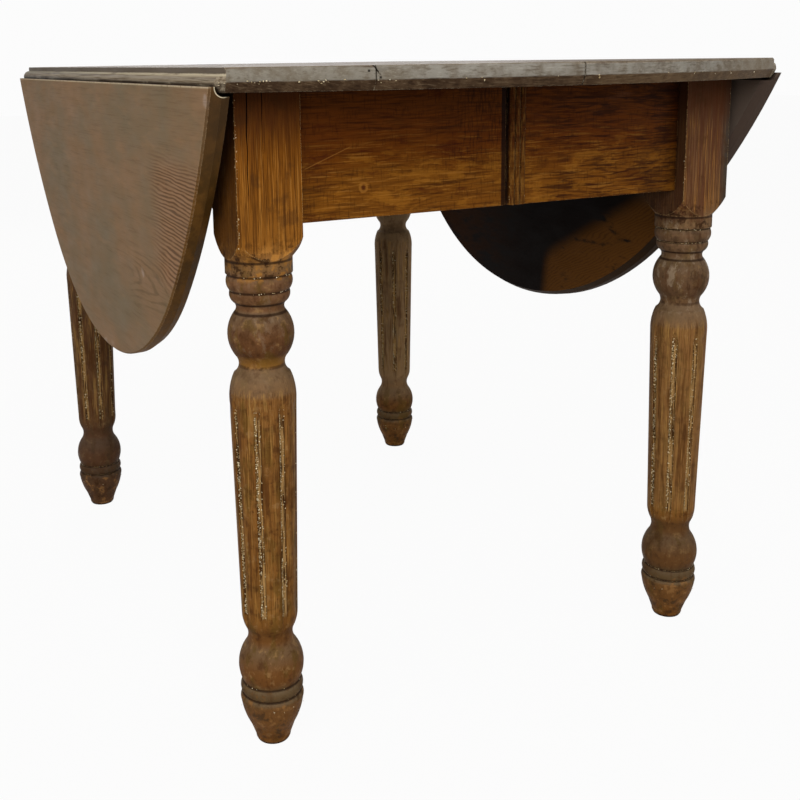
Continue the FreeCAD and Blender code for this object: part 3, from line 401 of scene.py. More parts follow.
def stained_ash_board():
    """Ash boards under old stain: red-brown along the upper half, worn golden below, with wavy grain."""
    material, tree, coordinates = blank_finish("stained_ash_board")
    place = coordinates["Object"]
    x, y, z = add(tree, "ShaderNodeSeparateXYZ", {0: place}, out=None)
    right_half = (x, 0.02, 0.10)
    wander = figure(tree, place, 40, "x", 5)
    colour = add(tree, "ShaderNodeValToRGB", {"Fac": drifted(tree, z, wander, 110 * MM)}, stops=APRON_TONES)
    # Growth lines 6 mm apart that wave along the board
    bend = figure(tree, place, 34, "x", 5, detail=3.0, harshness=0.55)
    level = add(tree, "ShaderNodeMath", {0: bend, 1: 55 * MM, 2: z}, operation="MULTIPLY_ADD")
    rings = growth_rings(tree, level, 6)
    faded = figure(tree, place, 24, "x", 4, shift=(0.2, 0.0, 0.1), detail=3.0)
    # Long streaks, fine fibres, pale worn lines, fine checks across the old finish, and blotches
    streak = figure(tree, place, 4.0, "x", 14, bend=0.5)
    fibre = figure(tree, place, 1.5, "x", 34, harshness=0.65, bend=0.2)
    pale = figure(tree, place, 2.3, "x", 20, shift=(0.1, 0.0, 0.3), harshness=0.65, bend=0.2)
    check = figure(tree, place, 2.2, "z", 7, shift=(0.0, 0.0, 0.2), detail=3.0)
    blotch = figure(tree, place, 15, "x", 3, detail=5.0, harshness=0.65)
    colour = stain(tree, colour,
                   ("#2b1003", 0.35, (rings, 0.1, 0.95), (faded, 0.38, 0.60)),
                   ("#2b1003", 0.50, (rings, 0.0, 0.9), (faded, 0.34, 0.54), right_half),
                   ("#220b02", 0.55, (streak, 0.52, 0.66)),
                   ("#220b02", 0.60, (streak, 0.50, 0.62), right_half),
                   ("#280f03", 0.55, (fibre, 0.48, 0.66)),
                   ("#9a6a28", 0.55, (pale, 0.54, 0.68), (z, 0.690, 0.630)),
                   ("#5f320c", 0.45, (pale, 0.57, 0.70)),
                   ("#220c03", 0.40, (check, 0.54, 0.66)),
                   ("#3a1505", 0.65, (blotch, 0.55, 0.68)),
                   ("#8a5818", 0.40, (blotch, 0.46, 0.36), (z, 0.665, 0.630)))
    # A long slanting scratch, and a small knot low down, on the left-hand board
    scratch = add(tree, "ShaderNodeMath", {0: x, 1: -0.39, 2: z}, operation="MULTIPLY_ADD")
    knot = add(tree, "ShaderNodeVectorMath", {0: place, 1: KNOT}, out="Value", operation="DISTANCE")
    knot = add(tree, "ShaderNodeMath", {0: streak, 1: 9 * MM, 2: knot}, operation="MULTIPLY_ADD")
    colour = stain(tree, colour,
                   ("#8a5a24", 0.50, (scratch, 0.7268, 0.7277), (scratch, 0.7287, 0.7280),
                    (blotch, 0.36, 0.52), (x, -0.250, -0.240), (x, -0.186, -0.196)),
                   ("#8a5a20", 0.6, (knot, 11 * MM, 9 * MM)),
                   ("#3a1505", 0.9, (knot, 8.5 * MM, 6 * MM)))
    # The cover strips stand proud of the boards and are darker, with paler lines down their beads
    proud = add(tree, "ShaderNodeMath", {0: y}, operation="ABSOLUTE")
    on_strip = (proud, APRON_FACE + 0.3 * MM, APRON_FACE + 0.9 * MM)
    bead = figure(tree, place, 1.8, "z", 10, shift=(0.3, 0.0, 0.5))
    colour = stain(tree, colour,
                   ("#241003", 0.42, on_strip),
                   ("#86602c", 0.38, (bead, 0.48, 0.62), on_strip))
    # Grime beside the right-hand block and in short marks left of the cut between the halves, and painted
    # shade in the cut
    colour = stain(tree, colour,
                   ("#160a04", 0.32, (x, 0.185, 0.250)),
                   ("#160a04", 0.48, (blotch, 0.44, 0.58), (x, 0.165, 0.230)),
                   ("#1c0c04", 0.42, (check, 0.46, 0.58), (x, -0.085, -0.035), (x, 0.0, -2 * MM),
                    (z, 0.600, 0.660)),
                   ("#0d0503", 0.90, (x, -4.5 * MM, -3.0 * MM), (x, 2.5 * MM, 1.5 * MM)))
    # Painted shade in hollows and where the top and legs come near
    colour = paint_hollow_shade(tree, colour, "#140602", 0.90, 14, 0.74, 0.40)
    # A pale line where edges are worn
    speck = figure(tree, place, 3, "z", 5, detail=2.0)
    colour = stain(tree, colour, ("#b08f5e", 0.65, (arris(tree, 0.7), 0.985, 0.90), (speck, 0.44, 0.58)))
    relief = add(tree, "ShaderNodeMath", {0: streak, 1: fibre}, operation="ADD")
    lay_finish(tree, colour, relief, depth=0.4, wear=blotch, smooth=0.42, rough=0.60)
    return material


def bleached_ash_leaf():
    """Ash bleached and dust-covered outside, where the rings show as stripes; edge brown,
    inner face near black with patches of painted light.
    """
    material, tree, coordinates = blank_finish("bleached_ash_leaf")
    place = coordinates["Object"]
    x, y, z = add(tree, "ShaderNodeSeparateXYZ", {0: place}, out=None)
    facing = add(tree, "ShaderNodeSeparateXYZ", {0: coordinates["Normal"]}, out=None)
    left, right = (x, 0.1, 0.0), (x, 0.0, 0.1)
    side = add(tree, "ShaderNodeMath", {0: x}, operation="SIGN")
    outward = add(tree, "ShaderNodeMath", {0: facing["X"], 1: side}, operation="MULTIPLY")
    tone = figure(tree, place, 80, "y", 1.6, harshness=0.55)
    face = add(tree, "ShaderNodeValToRGB", {"Fac": tone}, stops=LEAF_TONES)
    # Growth lines bend round the heart of the board, this many times as long as they are high
    length = 7.5
    heart = add(tree, "ShaderNodeMapping", {"Vector": place, "Scale": (0, 1 / length, 1),
                                            "Location": (0, -HEART_ALONG / length, -HEART_HEIGHT)})
    heart = add(tree, "ShaderNodeVectorMath", {0: heart}, out="Value", operation="LENGTH")
    warp = figure(tree, place, 30, "y", 4, detail=3.0, harshness=0.5)
    heart = add(tree, "ShaderNodeMath", {0: warp, 1: 15 * MM, 2: heart}, operation="MULTIPLY_ADD")
    stripes, swirl = growth_rings(tree, heart, 3.9), growth_rings(tree, heart, 6)
    fade = figure(tree, place, 45, detail=3.0)
    line = figure(tree, place, 1.8, "y", 36, harshness=0.65, bend=0.2)
    ruddy = figure(tree, place, 13, "y", 5)
    striped = ((y, -0.225, -0.300), (heart, 0.030, 0.050), (heart, 0.175, 0.140), (z, 0.49, 0.51))
    face = stain(tree, face,
                 ("#7c5535", 0.70, *striped),
                 ("#452f1a", 0.75, (stripes, 0.0, 0.8), (fade, 0.28, 0.46), *striped),
                 ("#9a7b5e", 0.40, (stripes, 0.1, -0.8), *striped),
                 ("#4f4128", 0.45, (swirl, 0.1, 0.95), (heart, 0.055, 0.038), (y, -0.10, -0.17),
                  (fade, 0.36, 0.52)),
                 ("#5a4630", 0.42, (line, 0.48, 0.68)),
                 ("#876748", 0.28, (ruddy, 0.54, 0.68)))
    # The edge is brown and paler below, and near black on the right-hand leaf
    bare = figure(tree, place, 20, "y", 3, detail=5.0, harshness=0.65)
    edge = stain(tree, linear("#452f13"),
                 ("#5c3e1a", 1.0, (bare, 0.38, 0.62)),
                 ("#6b4718", 0.60, (z, 0.52, 0.38)),
                 ("#3a2b1d", 0.60, (z, 0.60, 0.69)),
                 ("#1c120a", 0.85, right),
                 ("#443831", 0.85, right, (z, 0.48, 0.54)))
    # The sawn inner face is dark, with painted light: a pale patch streaked along a slant, and grey high up
    # in front
    slant = add(tree, "ShaderNodeMath", {0: y, 1: 0.545, 2: z}, operation="MULTIPLY_ADD")
    streaky = add(tree, "ShaderNodeMath", {0: warp, 1: 30 * MM, 2: slant}, operation="MULTIPLY_ADD")
    painted_light_patch = ((y, -0.045, -0.075), (slant, 0.425, 0.390))
    sawn = stain(tree, linear("#0e0603"),
                 ("#38200f", 1.0, (y, -0.02, 0.25), (bare, 0.34, 0.56)),
                 ("#6a4218", 0.85, (bare, 0.30, 0.46), *painted_light_patch),
                 ("#2e1a0b", 0.40, (growth_rings(tree, streaky, 5), 0.0, 0.9), (bare, 0.36, 0.58), *painted_light_patch),
                 ("#63554b", 0.85, (y, -0.22, -0.30), (z, 0.53, 0.58)))
    colour = stain(tree, edge, (face, 1.0, (outward, 0.6, 0.9)), (sawn, 1.0, (outward, -0.6, -0.9)))
    # Painted shade in hollows and where the top and frame come near
    colour = paint_hollow_shade(tree, colour, "#1c120a", 0.90, 6, 0.70, 0.36)
    # Pale wear on sharp edges, along the outer face's top, and on the ends round the hinge edge's hollow
    speck = figure(tree, place, 3.5, detail=3.0)
    hollow = add(tree, "ShaderNodeVectorMath", {0: place}, operation="ABSOLUTE")
    hollow = add(tree, "ShaderNodeMapping", {"Vector": hollow, "Location": (-HINGE_LINE, 0, -HINGE_HEIGHT),
                                             "Scale": (1, 0, 1)})
    hollow = add(tree, "ShaderNodeVectorMath", {0: hollow}, out="Value", operation="LENGTH")
    end_face = add(tree, "ShaderNodeMath", {0: facing["Y"]}, operation="ABSOLUTE")
    colour = stain(tree, colour,
                   ("#a98e69", 0.75, (arris(tree, 0.9), 0.985, 0.90), (speck, 0.40, 0.56), left),
                   ("#b8a78a", 0.80, (z, HINGE_HEIGHT - 3.4 * MM, HINGE_HEIGHT - 1.8 * MM),
                    (outward, 0.6, 0.9), (speck, 0.30, 0.48)),
                   ("#d2c4a6", 0.85, (hollow, COVE_RADIUS + 1.1 * MM, COVE_RADIUS + 0.6 * MM),
                    (end_face, 0.3, 0.6), (speck, 0.22, 0.40), left))
    lay_finish(tree, colour, line, depth=0.25, wear=bare, smooth=0.50, rough=0.66)
    return material


def weathered_ash_top():
    """Ash boards with worn varnish: grey-brown above; on the edge, a painted reflection greys the upright
    and painted shade darkens the bevel.
    """
    material, tree, coordinates = blank_finish("weathered_ash_top")
    place = coordinates["Object"]
    x, y, z = add(tree, "ShaderNodeSeparateXYZ", {0: place}, out=None)
    up = add(tree, "ShaderNodeSeparateXYZ", {0: coordinates["Normal"]}, out="Z")
    line = figure(tree, place, 2.2, "y", 40, harshness=0.65, bend=0.2)
    dash = figure(tree, place, 2.0, "x", 9, detail=3.0)
    patch = figure(tree, place, 22, "y", 3, detail=5.0, harshness=0.65)
    broad = figure(tree, place, 26, "y", 11, shift=(0.2, 0.0, 0.0))
    # The edge's upright: worn wood greyed by a painted reflection
    upright = stain(tree, linear("#78736a"),
                    ("#5f564a", 1.0, (patch, 0.40, 0.64)),
                    ("#4a3f32", 0.55, (dash, 0.54, 0.66)),
                    ("#928d82", 0.35, (dash, 0.44, 0.34)),
                    ("#625a4c", 0.40, (x, -0.13, -0.26)),
                    ("#6e604c", 0.50, (x, 0.18, 0.30)))
    above = stain(tree, linear("#6b5d4c"),
                  ("#58493a", 1.0, (broad, 0.40, 0.64)),
                  ("#3d2e20", 0.60, (line, 0.48, 0.66)),
                  ("#4b3c2e", 0.35, (patch, 0.52, 0.70)))
    # The edge's bevel: brown wood darkened by painted shade
    bevel = stain(tree, linear("#36271a"),
                  ("#4f3e2d", 1.0, (patch, 0.40, 0.64)),
                  ("#20150c", 0.70, (dash, 0.52, 0.64)),
                  ("#6a5a45", 0.50, (dash, 0.44, 0.34)),
                  ("#281b11", 0.35, (x, -0.19, -0.16), (x, 0.0, -0.02)),
                  ("#281b11", 0.28, (x, -0.17, -0.20)),
                  ("#6e583e", 0.25, (x, 0.0, 0.03)))
    # The step and the round that the leaf turns over: dark above, a pale line, then tan with dark dashes
    rounded = stain(tree, linear("#7f7361"),
                    ("#594c3c", 1.0, (line, 0.42, 0.62)),
                    ("#51463a", 0.90, (z, 0.7300, 0.7310)),
                    ("#a2977f", 0.70, (z, 0.7275, 0.7287), (z, 0.7310, 0.7300), (patch, 0.32, 0.50)),
                    ("#2c221a", 0.80, (z, 0.7225, 0.7205), (patch, 0.44, 0.56)))
    level = add(tree, "ShaderNodeMath", {0: patch, 1: 3 * MM, 2: z}, operation="MULTIPLY_ADD")
    reach = add(tree, "ShaderNodeMath", {0: x}, operation="ABSOLUTE")
    colour = stain(tree, bevel,
                   (upright, 1.0, (level, EDGE_ARRIS + 0.5 * MM, EDGE_ARRIS + 2.1 * MM)),
                   (above, 1.0, (up, 0.5, 0.8)),
                   (rounded, 1.0, (reach, HINGE_LINE - 0.8 * MM, HINGE_LINE - 0.3 * MM)))
    # On the front edge: dirt in the split at the boards' joint and in its fork, and worm holes beside it
    front_edge = ((y, -0.40, -0.45), (up, 0.5, 0.4), (z, EDGE_ARRIS - 1 * MM, EDGE_ARRIS + 1 * MM))
    fork = add(tree, "ShaderNodeMath", {0: z, 1: 0.684, 2: x}, operation="MULTIPLY_ADD")
    colour = stain(tree, colour,
                   ("#1a120b", 0.60, *around(x, -BOARD_JOINT, 0.9 * MM, 0.4 * MM), *front_edge),
                   ("#140d08", 0.95, *around(fork, 0.2832, 1.0 * MM, 0.5 * MM), (z, 0.7268, 0.7275),
                    *front_edge))
    for across, height in WORM_HOLES:
        colour = stain(tree, colour,
                       ("#140d08", 0.90, *around(x, across, 1.5 * MM, 0.7 * MM),
                        *around(z, height, 1.5 * MM, 0.7 * MM), *front_edge))
    # Dirt in the seam between the two halves
    colour = stain(tree, colour, ("#1b130c", 0.90, (reach, 1.3 * MM, 0.5 * MM)))
    # Painted shade in hollows and where other parts come near
    colour = paint_hollow_shade(tree, colour, "#1d140c", 0.90, 6, 0.70, 0.36)
    # A pale line where edges are worn
    speck = figure(tree, place, 4, detail=3.0, harshness=0.65)
    colour = stain(tree, colour, ("#a99c85", 0.70, (arris(tree, 1.0), 0.985, 0.90), (speck, 0.46, 0.58)))
    lay_finish(tree, colour, line, depth=0.3, wear=patch, smooth=0.40, rough=0.58)
    return material


def bare_deal():
    """Unfinished deal inside the frame: planed, brown with age, with dust, and painted shade in its hollows.
    """
    material, tree, coordinates = blank_finish("bare_deal")
    fibre = figure(tree, coordinates["Object"], 2.0, "x", 20, detail=5.0)
    patch = figure(tree, coordinates["Object"], 40)
    colour = stain(tree, linear("#6b5236"),
                   ("#4d3822", 1.0, (fibre, 0.4, 0.65)),
                   ("#3c2a19", 0.6, (patch, 0.5, 0.7)))
    # Painted shade in hollows and where other parts come near
    colour = paint_hollow_shade(tree, colour, "#1d130b", 0.8, 12, 0.7, 0.35)
    lay_finish(tree, colour, fibre, depth=0.3, wear=patch, smooth=0.60, rough=0.75)
    return material


# Metals and paint

def old_metal(name, bright, rusty, smooth):
    """Iron or steel gone dull: bare metal with a bloom of rust."""
    material, tree, coordinates = blank_finish(name)
    bloom = figure(tree, coordinates["Object"], 6, detail=6.0, harshness=0.65)
    colour = stain(tree, linear(bright), (rusty, 1.0, (bloom, 0.40, 0.62)))
    bump = add(tree, "ShaderNodeBump", {"Height": bloom, "Distance": 0.1 * MM})
    roughness = add(tree, "ShaderNodeMapRange", {"Value": bloom, "From Min": 0.35, "From Max": 0.65,
                                                 "To Min": smooth, "To Max": 0.75})
    shader = add(tree, "ShaderNodeBsdfPrincipled",
                 {"Base Color": colour, "Roughness": roughness, "Normal": bump, "Metallic": 0.85})
    add(tree, "ShaderNodeOutputMaterial", {"Surface": shader}, out=None)
    return material


def old_cream_paint():
    """Oil paint in crumbs: once cream, now yellowed and dirty."""
    material, tree, coordinates = blank_finish("old_cream_paint")
    age = figure(tree, coordinates["Object"], 3, detail=3.0)
    colour = add(tree, "ShaderNodeValToRGB", {"Fac": age}, stops=PAINT_TONES)
    lay_finish(tree, colour, age, depth=0.2, wear=age, smooth=0.55, rough=0.8)
    return material


FINISHES = {
    "leg_wood": stained_turned_ash(),
    "apron_wood": stained_ash_board(),
    "leaf_wood": bleached_ash_leaf(),
    "top_wood": weathered_ash_top(),
    "inner_wood": bare_deal(),
    "hinge_iron": old_metal("wrought_iron", "#4a4541", "#3a2418", 0.45),
    "screw_steel": old_metal("dull_steel", "#77736d", "#4a3a2c", 0.35),
}
PAINT = old_cream_paint()

for name, piece in nodes.items():
    piece.data.materials.clear()
    piece.data.materials.append(FINISHES[slot_of[name]])


# Splits in the wood: wedges cut out of copies of the solids

def reshape(mesh, change):
    """Change a mesh in place by an operation on its editable form."""
    form = bmesh.new()
    form.from_mesh(mesh)
    change(form)
    form.to_mesh(mesh)
    form.free()


def split_wedge(name, line, face, depth):
    """A closed wedge along (across, height, half width) points, from just outside a front face inwards."""
    outside, lean = 0.6 * MM, 0.3
    corners, faces = [], []
    for across, height, width in line:
        corners.append((across - width, face - outside, height))
        corners.append((across + width, face - outside, height))
        corners.append((across + lean * width, face + depth, height))
    for step in range(len(line) - 1):
        low, high = 3 * step, 3 * step + 3
        for one, other in ((0, 1), (1, 2), (2, 0)):
            faces.append((low + one, low + other, high + other, high + one))
    last = len(corners) - 3
    faces += [(2, 1, 0), (last, last + 1, last + 2)]
    mesh = bpy.data.meshes.new(name)
    mesh.from_pydata(corners, [], faces)
    reshape(mesh, lambda form: bmesh.ops.recalc_face_normals(form, faces=form.faces))
    return put(name, mesh)


def split_copy(node, body, wedges):
    """A copy of a solid with wedges cut out of it, which stands for the solid."""
    same_point, sliver = 0.001 * MM, 0.02 * MM
    sharp, square = math.radians(30), 0.9995
    mesh = nodes[node].data.copy()
    reshape(mesh, lambda form: bmesh.ops.remove_doubles(form, verts=form.verts, dist=same_point))
    piece = put("split_" + node, mesh)
    for wedge in wedges:
        modifier = piece.modifiers.new(wedge.name, "BOOLEAN")
        modifier.operation = "DIFFERENCE"
        modifier.object = wedge
    depsgraph = bpy.context.evaluated_depsgraph_get()
    piece.data = bpy.data.meshes.new_from_object(piece.evaluated_get(depsgraph))
    piece.modifiers.clear()
    reshape(piece.data, lambda form: bmesh.ops.dissolve_degenerate(form, edges=form.edges, dist=sliver))
    piece.data.materials.clear()
    piece.data.materials.append(FINISHES[slot_of[node]])
    piece.data.shade_smooth()
    piece.data.set_sharp_from_angle(angle=sharp)
    # The block's and the boards' flat faces stay flat beside the curves that they meet
    for face in piece.data.polygons:
        squarely = max(abs(part) for part in face.normal) > square
        face.use_smooth = not (squarely and face.center.z > BLOCK_BOTTOM)
    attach(piece, body)
    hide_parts(node)


def splits():
    """A long and a short split in the front left block, and a forked one at the joint of the top's boards."""
    long_line = ((-0.3104, 0.7125, 0.7 * MM), (-0.3108, 0.690, 0.6 * MM), (-0.3117, 0.672, 0.7 * MM),
                 (-0.3111, 0.655, 0.5 * MM), (-0.3119, 0.636, 0.5 * MM), (-0.3114, 0.612, 0.2 * MM))
    short_line = ((-0.2948, 0.7125, 0.4 * MM), (-0.2953, 0.685, 0.35 * MM), (-0.2949, 0.652, 0.15 * MM))
    block = [split_wedge("block_split", long_line, -BLOCK_FACE, 6 * MM),
             split_wedge("block_check", short_line, -BLOCK_FACE, 3 * MM)]
    split_copy("front_left_leg", "left_half", block)
    edge_face = -oval_reach(BOARD_JOINT)
    joint_line = ((-BOARD_JOINT, 0.7370, 0.5 * MM), (-BOARD_JOINT - 0.1 * MM, 0.7320, 0.5 * MM),
                  (-BOARD_JOINT + 0.1 * MM, 0.7270, 0.5 * MM), (-BOARD_JOINT + 0.2 * MM, 0.7205, 0.4 * MM))
    fork_line = ((-BOARD_JOINT - 3.0 * MM, 0.7370, 1.0 * MM), (-BOARD_JOINT + 0.4 * MM, 0.7320, 0.9 * MM),
                 (-BOARD_JOINT + 3.5 * MM, 0.7275, 0.5 * MM))
    joint = [split_wedge("joint_split", joint_line, edge_face, 7 * MM),
             split_wedge("joint_fork", fork_line, edge_face, 8 * MM)]
    split_copy("left_top_outer_board", "left_half", joint)
    split_copy("left_top_inner_board", "left_half", joint)
    for wedge in block + joint:
        bpy.data.objects.remove(wedge)


splits()


# Old paint: crumbs that cling to narrow bands along flutes, grooves and arrises

class Bands:
    """Narrow strips of surface for crumbs to cling to, each with its number of crumbs to the square metre."""

    def __init__(self):
        self.points, self.faces, self.amounts = [], [], []

    def between(self, one_side, other_side, amount, outward):
        """A strip between two rows of points, its faces turned to look outwards."""
        along = one_side[1] - one_side[0]
        if along.cross(other_side[0] - one_side[0]).dot(outward) < 0:
            one_side, other_side = other_side, one_side
        first, count = len(self.points), len(one_side)
        self.points += list(one_side) + list(other_side)
        for step in range(count - 1):
            near, far = first + step, first + count + step
            self.faces.append((near, near + 1, far + 1, far))
            self.amounts.append(amount)

    def made(self, name):
        """The strips as one mesh."""
        mesh = bpy.data.meshes.new(name)
        mesh.from_pydata(self.points, [], self.faces)
        mesh.attributes.new("amount", "FLOAT", "FACE").data.foreach_set("value", self.amounts)
        return mesh


def flute_bands(bands, side, end, start):
    """Bands along both lips of every flute of a leg."""
    (low, low_out), (high, high_out) = FLUTE_LINE
    heights = spaced(FLUTE_PAINT_LOW, FLUTE_PAINT_HIGH, count=21)
    for flute in range(FLUTE_COUNT):
        bearing = math.radians(start + 360 / FLUTE_COUNT * flute)
        outward = Vector((math.cos(bearing), math.sin(bearing), 0))
        aside = Vector((-outward.y, outward.x, 0))
        for hand, amount in FLUTE_PAINT:
            rows = []
            for lean in FLUTE_LIP:
                row = []
                for z in heights:
                    middle = low_out + (high_out - low_out) * (z - low) / (high - low)
                    reach = middle - FLUTE_RADIUS * math.cos(math.radians(lean))
                    step = hand * FLUTE_RADIUS * math.sin(math.radians(lean))
                    axis = Vector((side * LEG_ACROSS, end * LEG_ALONG, z))
                    row.append(axis + outward * reach + aside * step)
                rows.append(row)
            bands.between(rows[0], rows[1], amount, outward)


def ring_band(bands, side, end, low, high, amount):
    """A band round a leg between two (radius, height) rims."""
    rows = []
    for radius, z in (low, high):
        row = []
        for turn in spaced(0, 360, count=61):
            x = side * LEG_ACROSS + radius * math.cos(math.radians(turn))
            y = end * LEG_ALONG + radius * math.sin(math.radians(turn))
            row.append(Vector((x, y, z)))
        rows.append(row)
    bands.between(rows[0], rows[1], amount, Vector((1, 0, 0)))


def arris_band(bands, x, y, lean_x, lean_y, low, high, amount):
    """A band up an arris, leaning a little towards each of its two faces."""
    heights = spaced(low, high, count=13)
    one_face = [Vector((x + lean_x, y, z)) for z in heights]
    other_face = [Vector((x, y + lean_y, z)) for z in heights]
    bands.between(one_face, other_face, amount, Vector((-lean_x, -lean_y, 0)))


def edge_band(bands, side, end, near, far, amount):
    """A band along the top's edge where its upright meets the bevel, between two distances across."""
    rows = []
    for rise, inset in ((0.5 * MM, -0.1 * MM), (-3.2 * MM, 1.55 * MM)):
        rows.append([Vector((side * x, end * (oval_reach(x) - inset), EDGE_ARRIS + rise))
                     for x in spaced(near, far, count=40)])
    bands.between(rows[0], rows[1], amount, Vector((0, end, 0)))


def crumb_tree():
    """Scatter flat crumbs over a mesh, thicker in some stretches than in others."""
    tree = bpy.data.node_groups.new("paint_crumbs", "GeometryNodeTree")
    for name, kind in (("Bands", "Geometry"), ("Crumb size", "Float"), ("Patch size", "Float"),
                       ("Seed", "Int"), ("Paint", "Material")):
        tree.interface.new_socket(name, in_out="INPUT", socket_type="NodeSocket" + kind)
    tree.interface.new_socket("Crumbs", in_out="OUTPUT", socket_type="NodeSocketGeometry")
    given = add(tree, "NodeGroupInput", out=None)
    amount = add(tree, "GeometryNodeInputNamedAttribute", {"Name": "amount"}, data_type="FLOAT")
    where = add(tree, "GeometryNodeInputPosition")
    fineness = add(tree, "ShaderNodeMath", {0: 1.0, 1: given["Patch size"]}, operation="DIVIDE")
    stretch = add(tree, "ShaderNodeTexNoise", {"Vector": where, "Scale": fineness, "Detail": 2.0})
    kept = zone(tree, (stretch, 0.36, 0.60))
    clinging = add(tree, "ShaderNodeMath", {0: amount, 1: kept}, operation="MULTIPLY")
    spread = add(tree, "GeometryNodeDistributePointsOnFaces",
                 {"Mesh": given["Bands"], "Density": clinging, "Seed": given["Seed"]}, out=None)
    crumb = add(tree, "GeometryNodeMeshCone",
                {"Vertices": 5, "Radius Top": 0.0, "Radius Bottom": given["Crumb size"],
                 "Depth": given["Crumb size"]}, fill_type="NGON")
    shape = add(tree, "FunctionNodeRandomValue", {0: SMALLEST_CRUMB, 1: LARGEST_CRUMB},
                data_type="FLOAT_VECTOR")
    laid = add(tree, "GeometryNodeInstanceOnPoints", {"Points": spread["Points"], "Instance": crumb,
                                                      "Rotation": spread["Rotation"], "Scale": shape})
    real = add(tree, "GeometryNodeRealizeInstances", {"Geometry": laid})
    painted = add(tree, "GeometryNodeSetMaterial", {"Geometry": real, "Material": given["Paint"]})
    add(tree, "NodeGroupOutput", {0: painted}, out=None)
    return tree


def scatter_crumbs(name, bands, tree, seed, body):
    """Crumbs over bands, as one plain mesh that moves with a body."""
    carrier = put(name + "_bands", bands.made(name + "_bands"))
    modifier = carrier.modifiers.new("crumbs", "NODES")
    modifier.node_group = tree
    sockets = {item.name: item.identifier for item in tree.interface.items_tree if item.in_out == "INPUT"}
    modifier[sockets["Crumb size"]] = CRUMB_SIZE
    modifier[sockets["Patch size"]] = CRUMB_PATCH
    modifier[sockets["Seed"]] = seed
    modifier[sockets["Paint"]] = PAINT
    depsgraph = bpy.context.evaluated_depsgraph_get()
    mesh = bpy.data.meshes.new_from_object(carrier.evaluated_get(depsgraph))
    bpy.data.objects.remove(carrier)
    piece = put(name, mesh)
    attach(piece, body)


def leg_bands(bands, side, end, start):
    """Where paint clings to a leg: flutes, grooves of the turning, foot and block arrises."""
    flute_bands(bands, side, end, start)
    for low, high, amount in RING_PAINT:
        ring_band(bands, side, end, low, high, amount)
    low, high, lean = 0.560, 0.705, 1.2 * MM
    for across, amount in ((side, OUTER_ARRIS_PAINT), (-side, INNER_ARRIS_PAINT)):
        x = side * LEG_ACROSS + across * HALF_STOCK
        arris_band(bands, x, end * BLOCK_FACE, -across * lean, -end * lean, low, high, amount)


def strip_bands(bands, end):
    """Where paint clings to a cover strip: the quirks between its beads."""
    low, high, lean = 0.580, 0.710, 0.5 * MM
    strip_face = APRON_FACE + 1.1 * MM
    for quirk in STRIP_QUIRKS:
        arris_band(bands, quirk, end * strip_face, -lean, -lean * end, low, high, STRIP_PAINT)


def old_paint():
    """What is left of an old coat of cream paint, on each half of the table."""
    tree = crumb_tree()
    for hand, side, seed, over_leg in (("left", -1, 2, LEFT_EDGE_PAINT), ("right", 1, 4, RIGHT_EDGE_PAINT)):
        bands = Bands()
        for leg_side, end, start in LEGS:
            if leg_side == side:
                leg_bands(bands, side, end, start)
        for end in (-1, 1):
            edge_band(bands, side, end, EDGE_PAINT_FROM, EDGE_PAINT_LEG, MIDDLE_EDGE_PAINT)
            edge_band(bands, side, end, EDGE_PAINT_LEG, EDGE_PAINT_TO, over_leg)
        # The cover strips are fixed to the right half
        if hand == "right":
            strip_bands(bands, -1)
            strip_bands(bands, 1)
        scatter_crumbs(f"{hand}_paint_crumbs", bands, tree, seed, f"{hand}_half")


old_paint()


# Camera, light and floor

def place_camera():
    """The photograph's camera: a little above the top, to the left of the front."""
    yaw, pitch, roll = (math.radians(angle) for angle in (CAMERA_YAW, CAMERA_PITCH, CAMERA_ROLL))
    forward = Vector((math.sin(yaw) * math.cos(pitch), math.cos(yaw) * math.cos(pitch), -math.sin(pitch)))
    level = Vector((math.cos(yaw), -math.sin(yaw), 0))
    upright = level.cross(forward)
    right = math.cos(roll) * level + math.sin(roll) * upright
    up = math.cos(roll) * upright - math.sin(roll) * level
    data = bpy.data.cameras.new("camera")
    data.sensor_width = SENSOR_WIDTH
    data.lens = LENS_LENGTH
    data.shift_x, data.shift_y = CAMERA_SHIFT
    camera = put("camera", data)
    turned = Matrix((right, up, -forward)).transposed().to_4x4()
    camera.matrix_world = Matrix.Translation(CAMERA_PLACE) @ turned
    bpy.context.scene.camera = camera


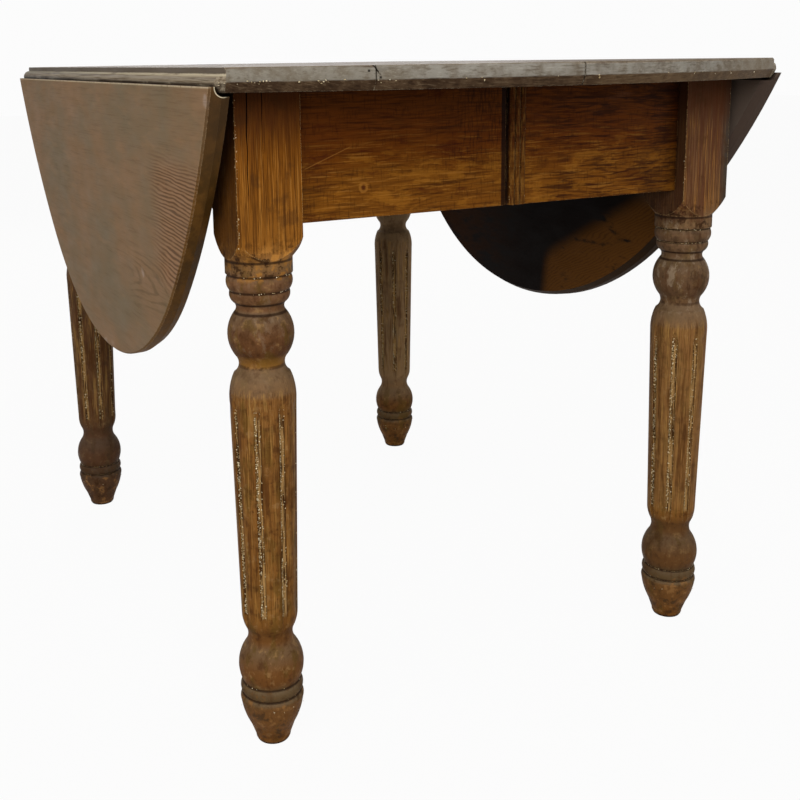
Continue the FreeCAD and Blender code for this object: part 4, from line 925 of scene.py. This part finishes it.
def soft_light(name, place, target, width, watts):
    """A large soft lamp that looks at a point."""
    data = bpy.data.lights.new(name, "AREA")
    data.size = width
    data.energy = watts
    lamp = put(name, data)
    lamp.location = place
    lamp.rotation_euler = (Vector(target) - Vector(place)).to_track_quat("-Z", "Y").to_euler()


def seen_directly(tree):
    """One for rays that look, or that metal and glass send on, and nought for rays that only light."""
    rays = add(tree, "ShaderNodeLightPath", out=None)
    seen = add(tree, "ShaderNodeMath", {0: rays["Is Camera Ray"], 1: rays["Is Glossy Ray"]},
               operation="MAXIMUM")
    return add(tree, "ShaderNodeMath", {0: seen, 1: rays["Is Transmission Ray"]}, operation="MAXIMUM")


def white_world():
    """Even light from all round, and a white backdrop behind the table."""
    world = bpy.data.worlds.new("studio")
    bpy.context.scene.world = world
    tree = blank_tree(world)
    strength = add(tree, "ShaderNodeMapRange", {"Value": seen_directly(tree), "To Min": ALL_ROUND_LIGHT,
                                                "To Max": BACKDROP})
    light = add(tree, "ShaderNodeBackground", {"Color": (1, 1, 1, 1), "Strength": strength})
    add(tree, "ShaderNodeOutputWorld", {"Surface": light}, out=None)


def pale_floor():
    """A white floor that keeps the table's shadow."""
    corners = [(x * FLOOR_HALF, y * FLOOR_HALF, 0) for x, y in ((-1, -1), (1, -1), (1, 1), (-1, 1))]
    mesh = bpy.data.meshes.new("floor")
    mesh.from_pydata(corners, [], [(0, 1, 2, 3)])
    floor = put("floor", mesh)
    material = bpy.data.materials.new("pale_floor")
    tree = blank_tree(material)
    lit = add(tree, "ShaderNodeBsdfDiffuse", {"Color": linear("#b4b2ae")})
    white = add(tree, "ShaderNodeEmission", {"Color": (1, 1, 1, 1), "Strength": 1.0})
    share = add(tree, "ShaderNodeMath", {0: seen_directly(tree), 1: FLOOR_WHITE}, operation="MULTIPLY")
    both = add(tree, "ShaderNodeMixShader", {0: share, 1: lit, 2: white})
    add(tree, "ShaderNodeOutputMaterial", {"Surface": both}, out=None)
    mesh.materials.append(material)


place_camera()
white_world()
pale_floor()
for name, lamp in LAMPS.items():
    soft_light(name, *lamp)
bpy.context.scene.view_settings.view_transform = "Standard"
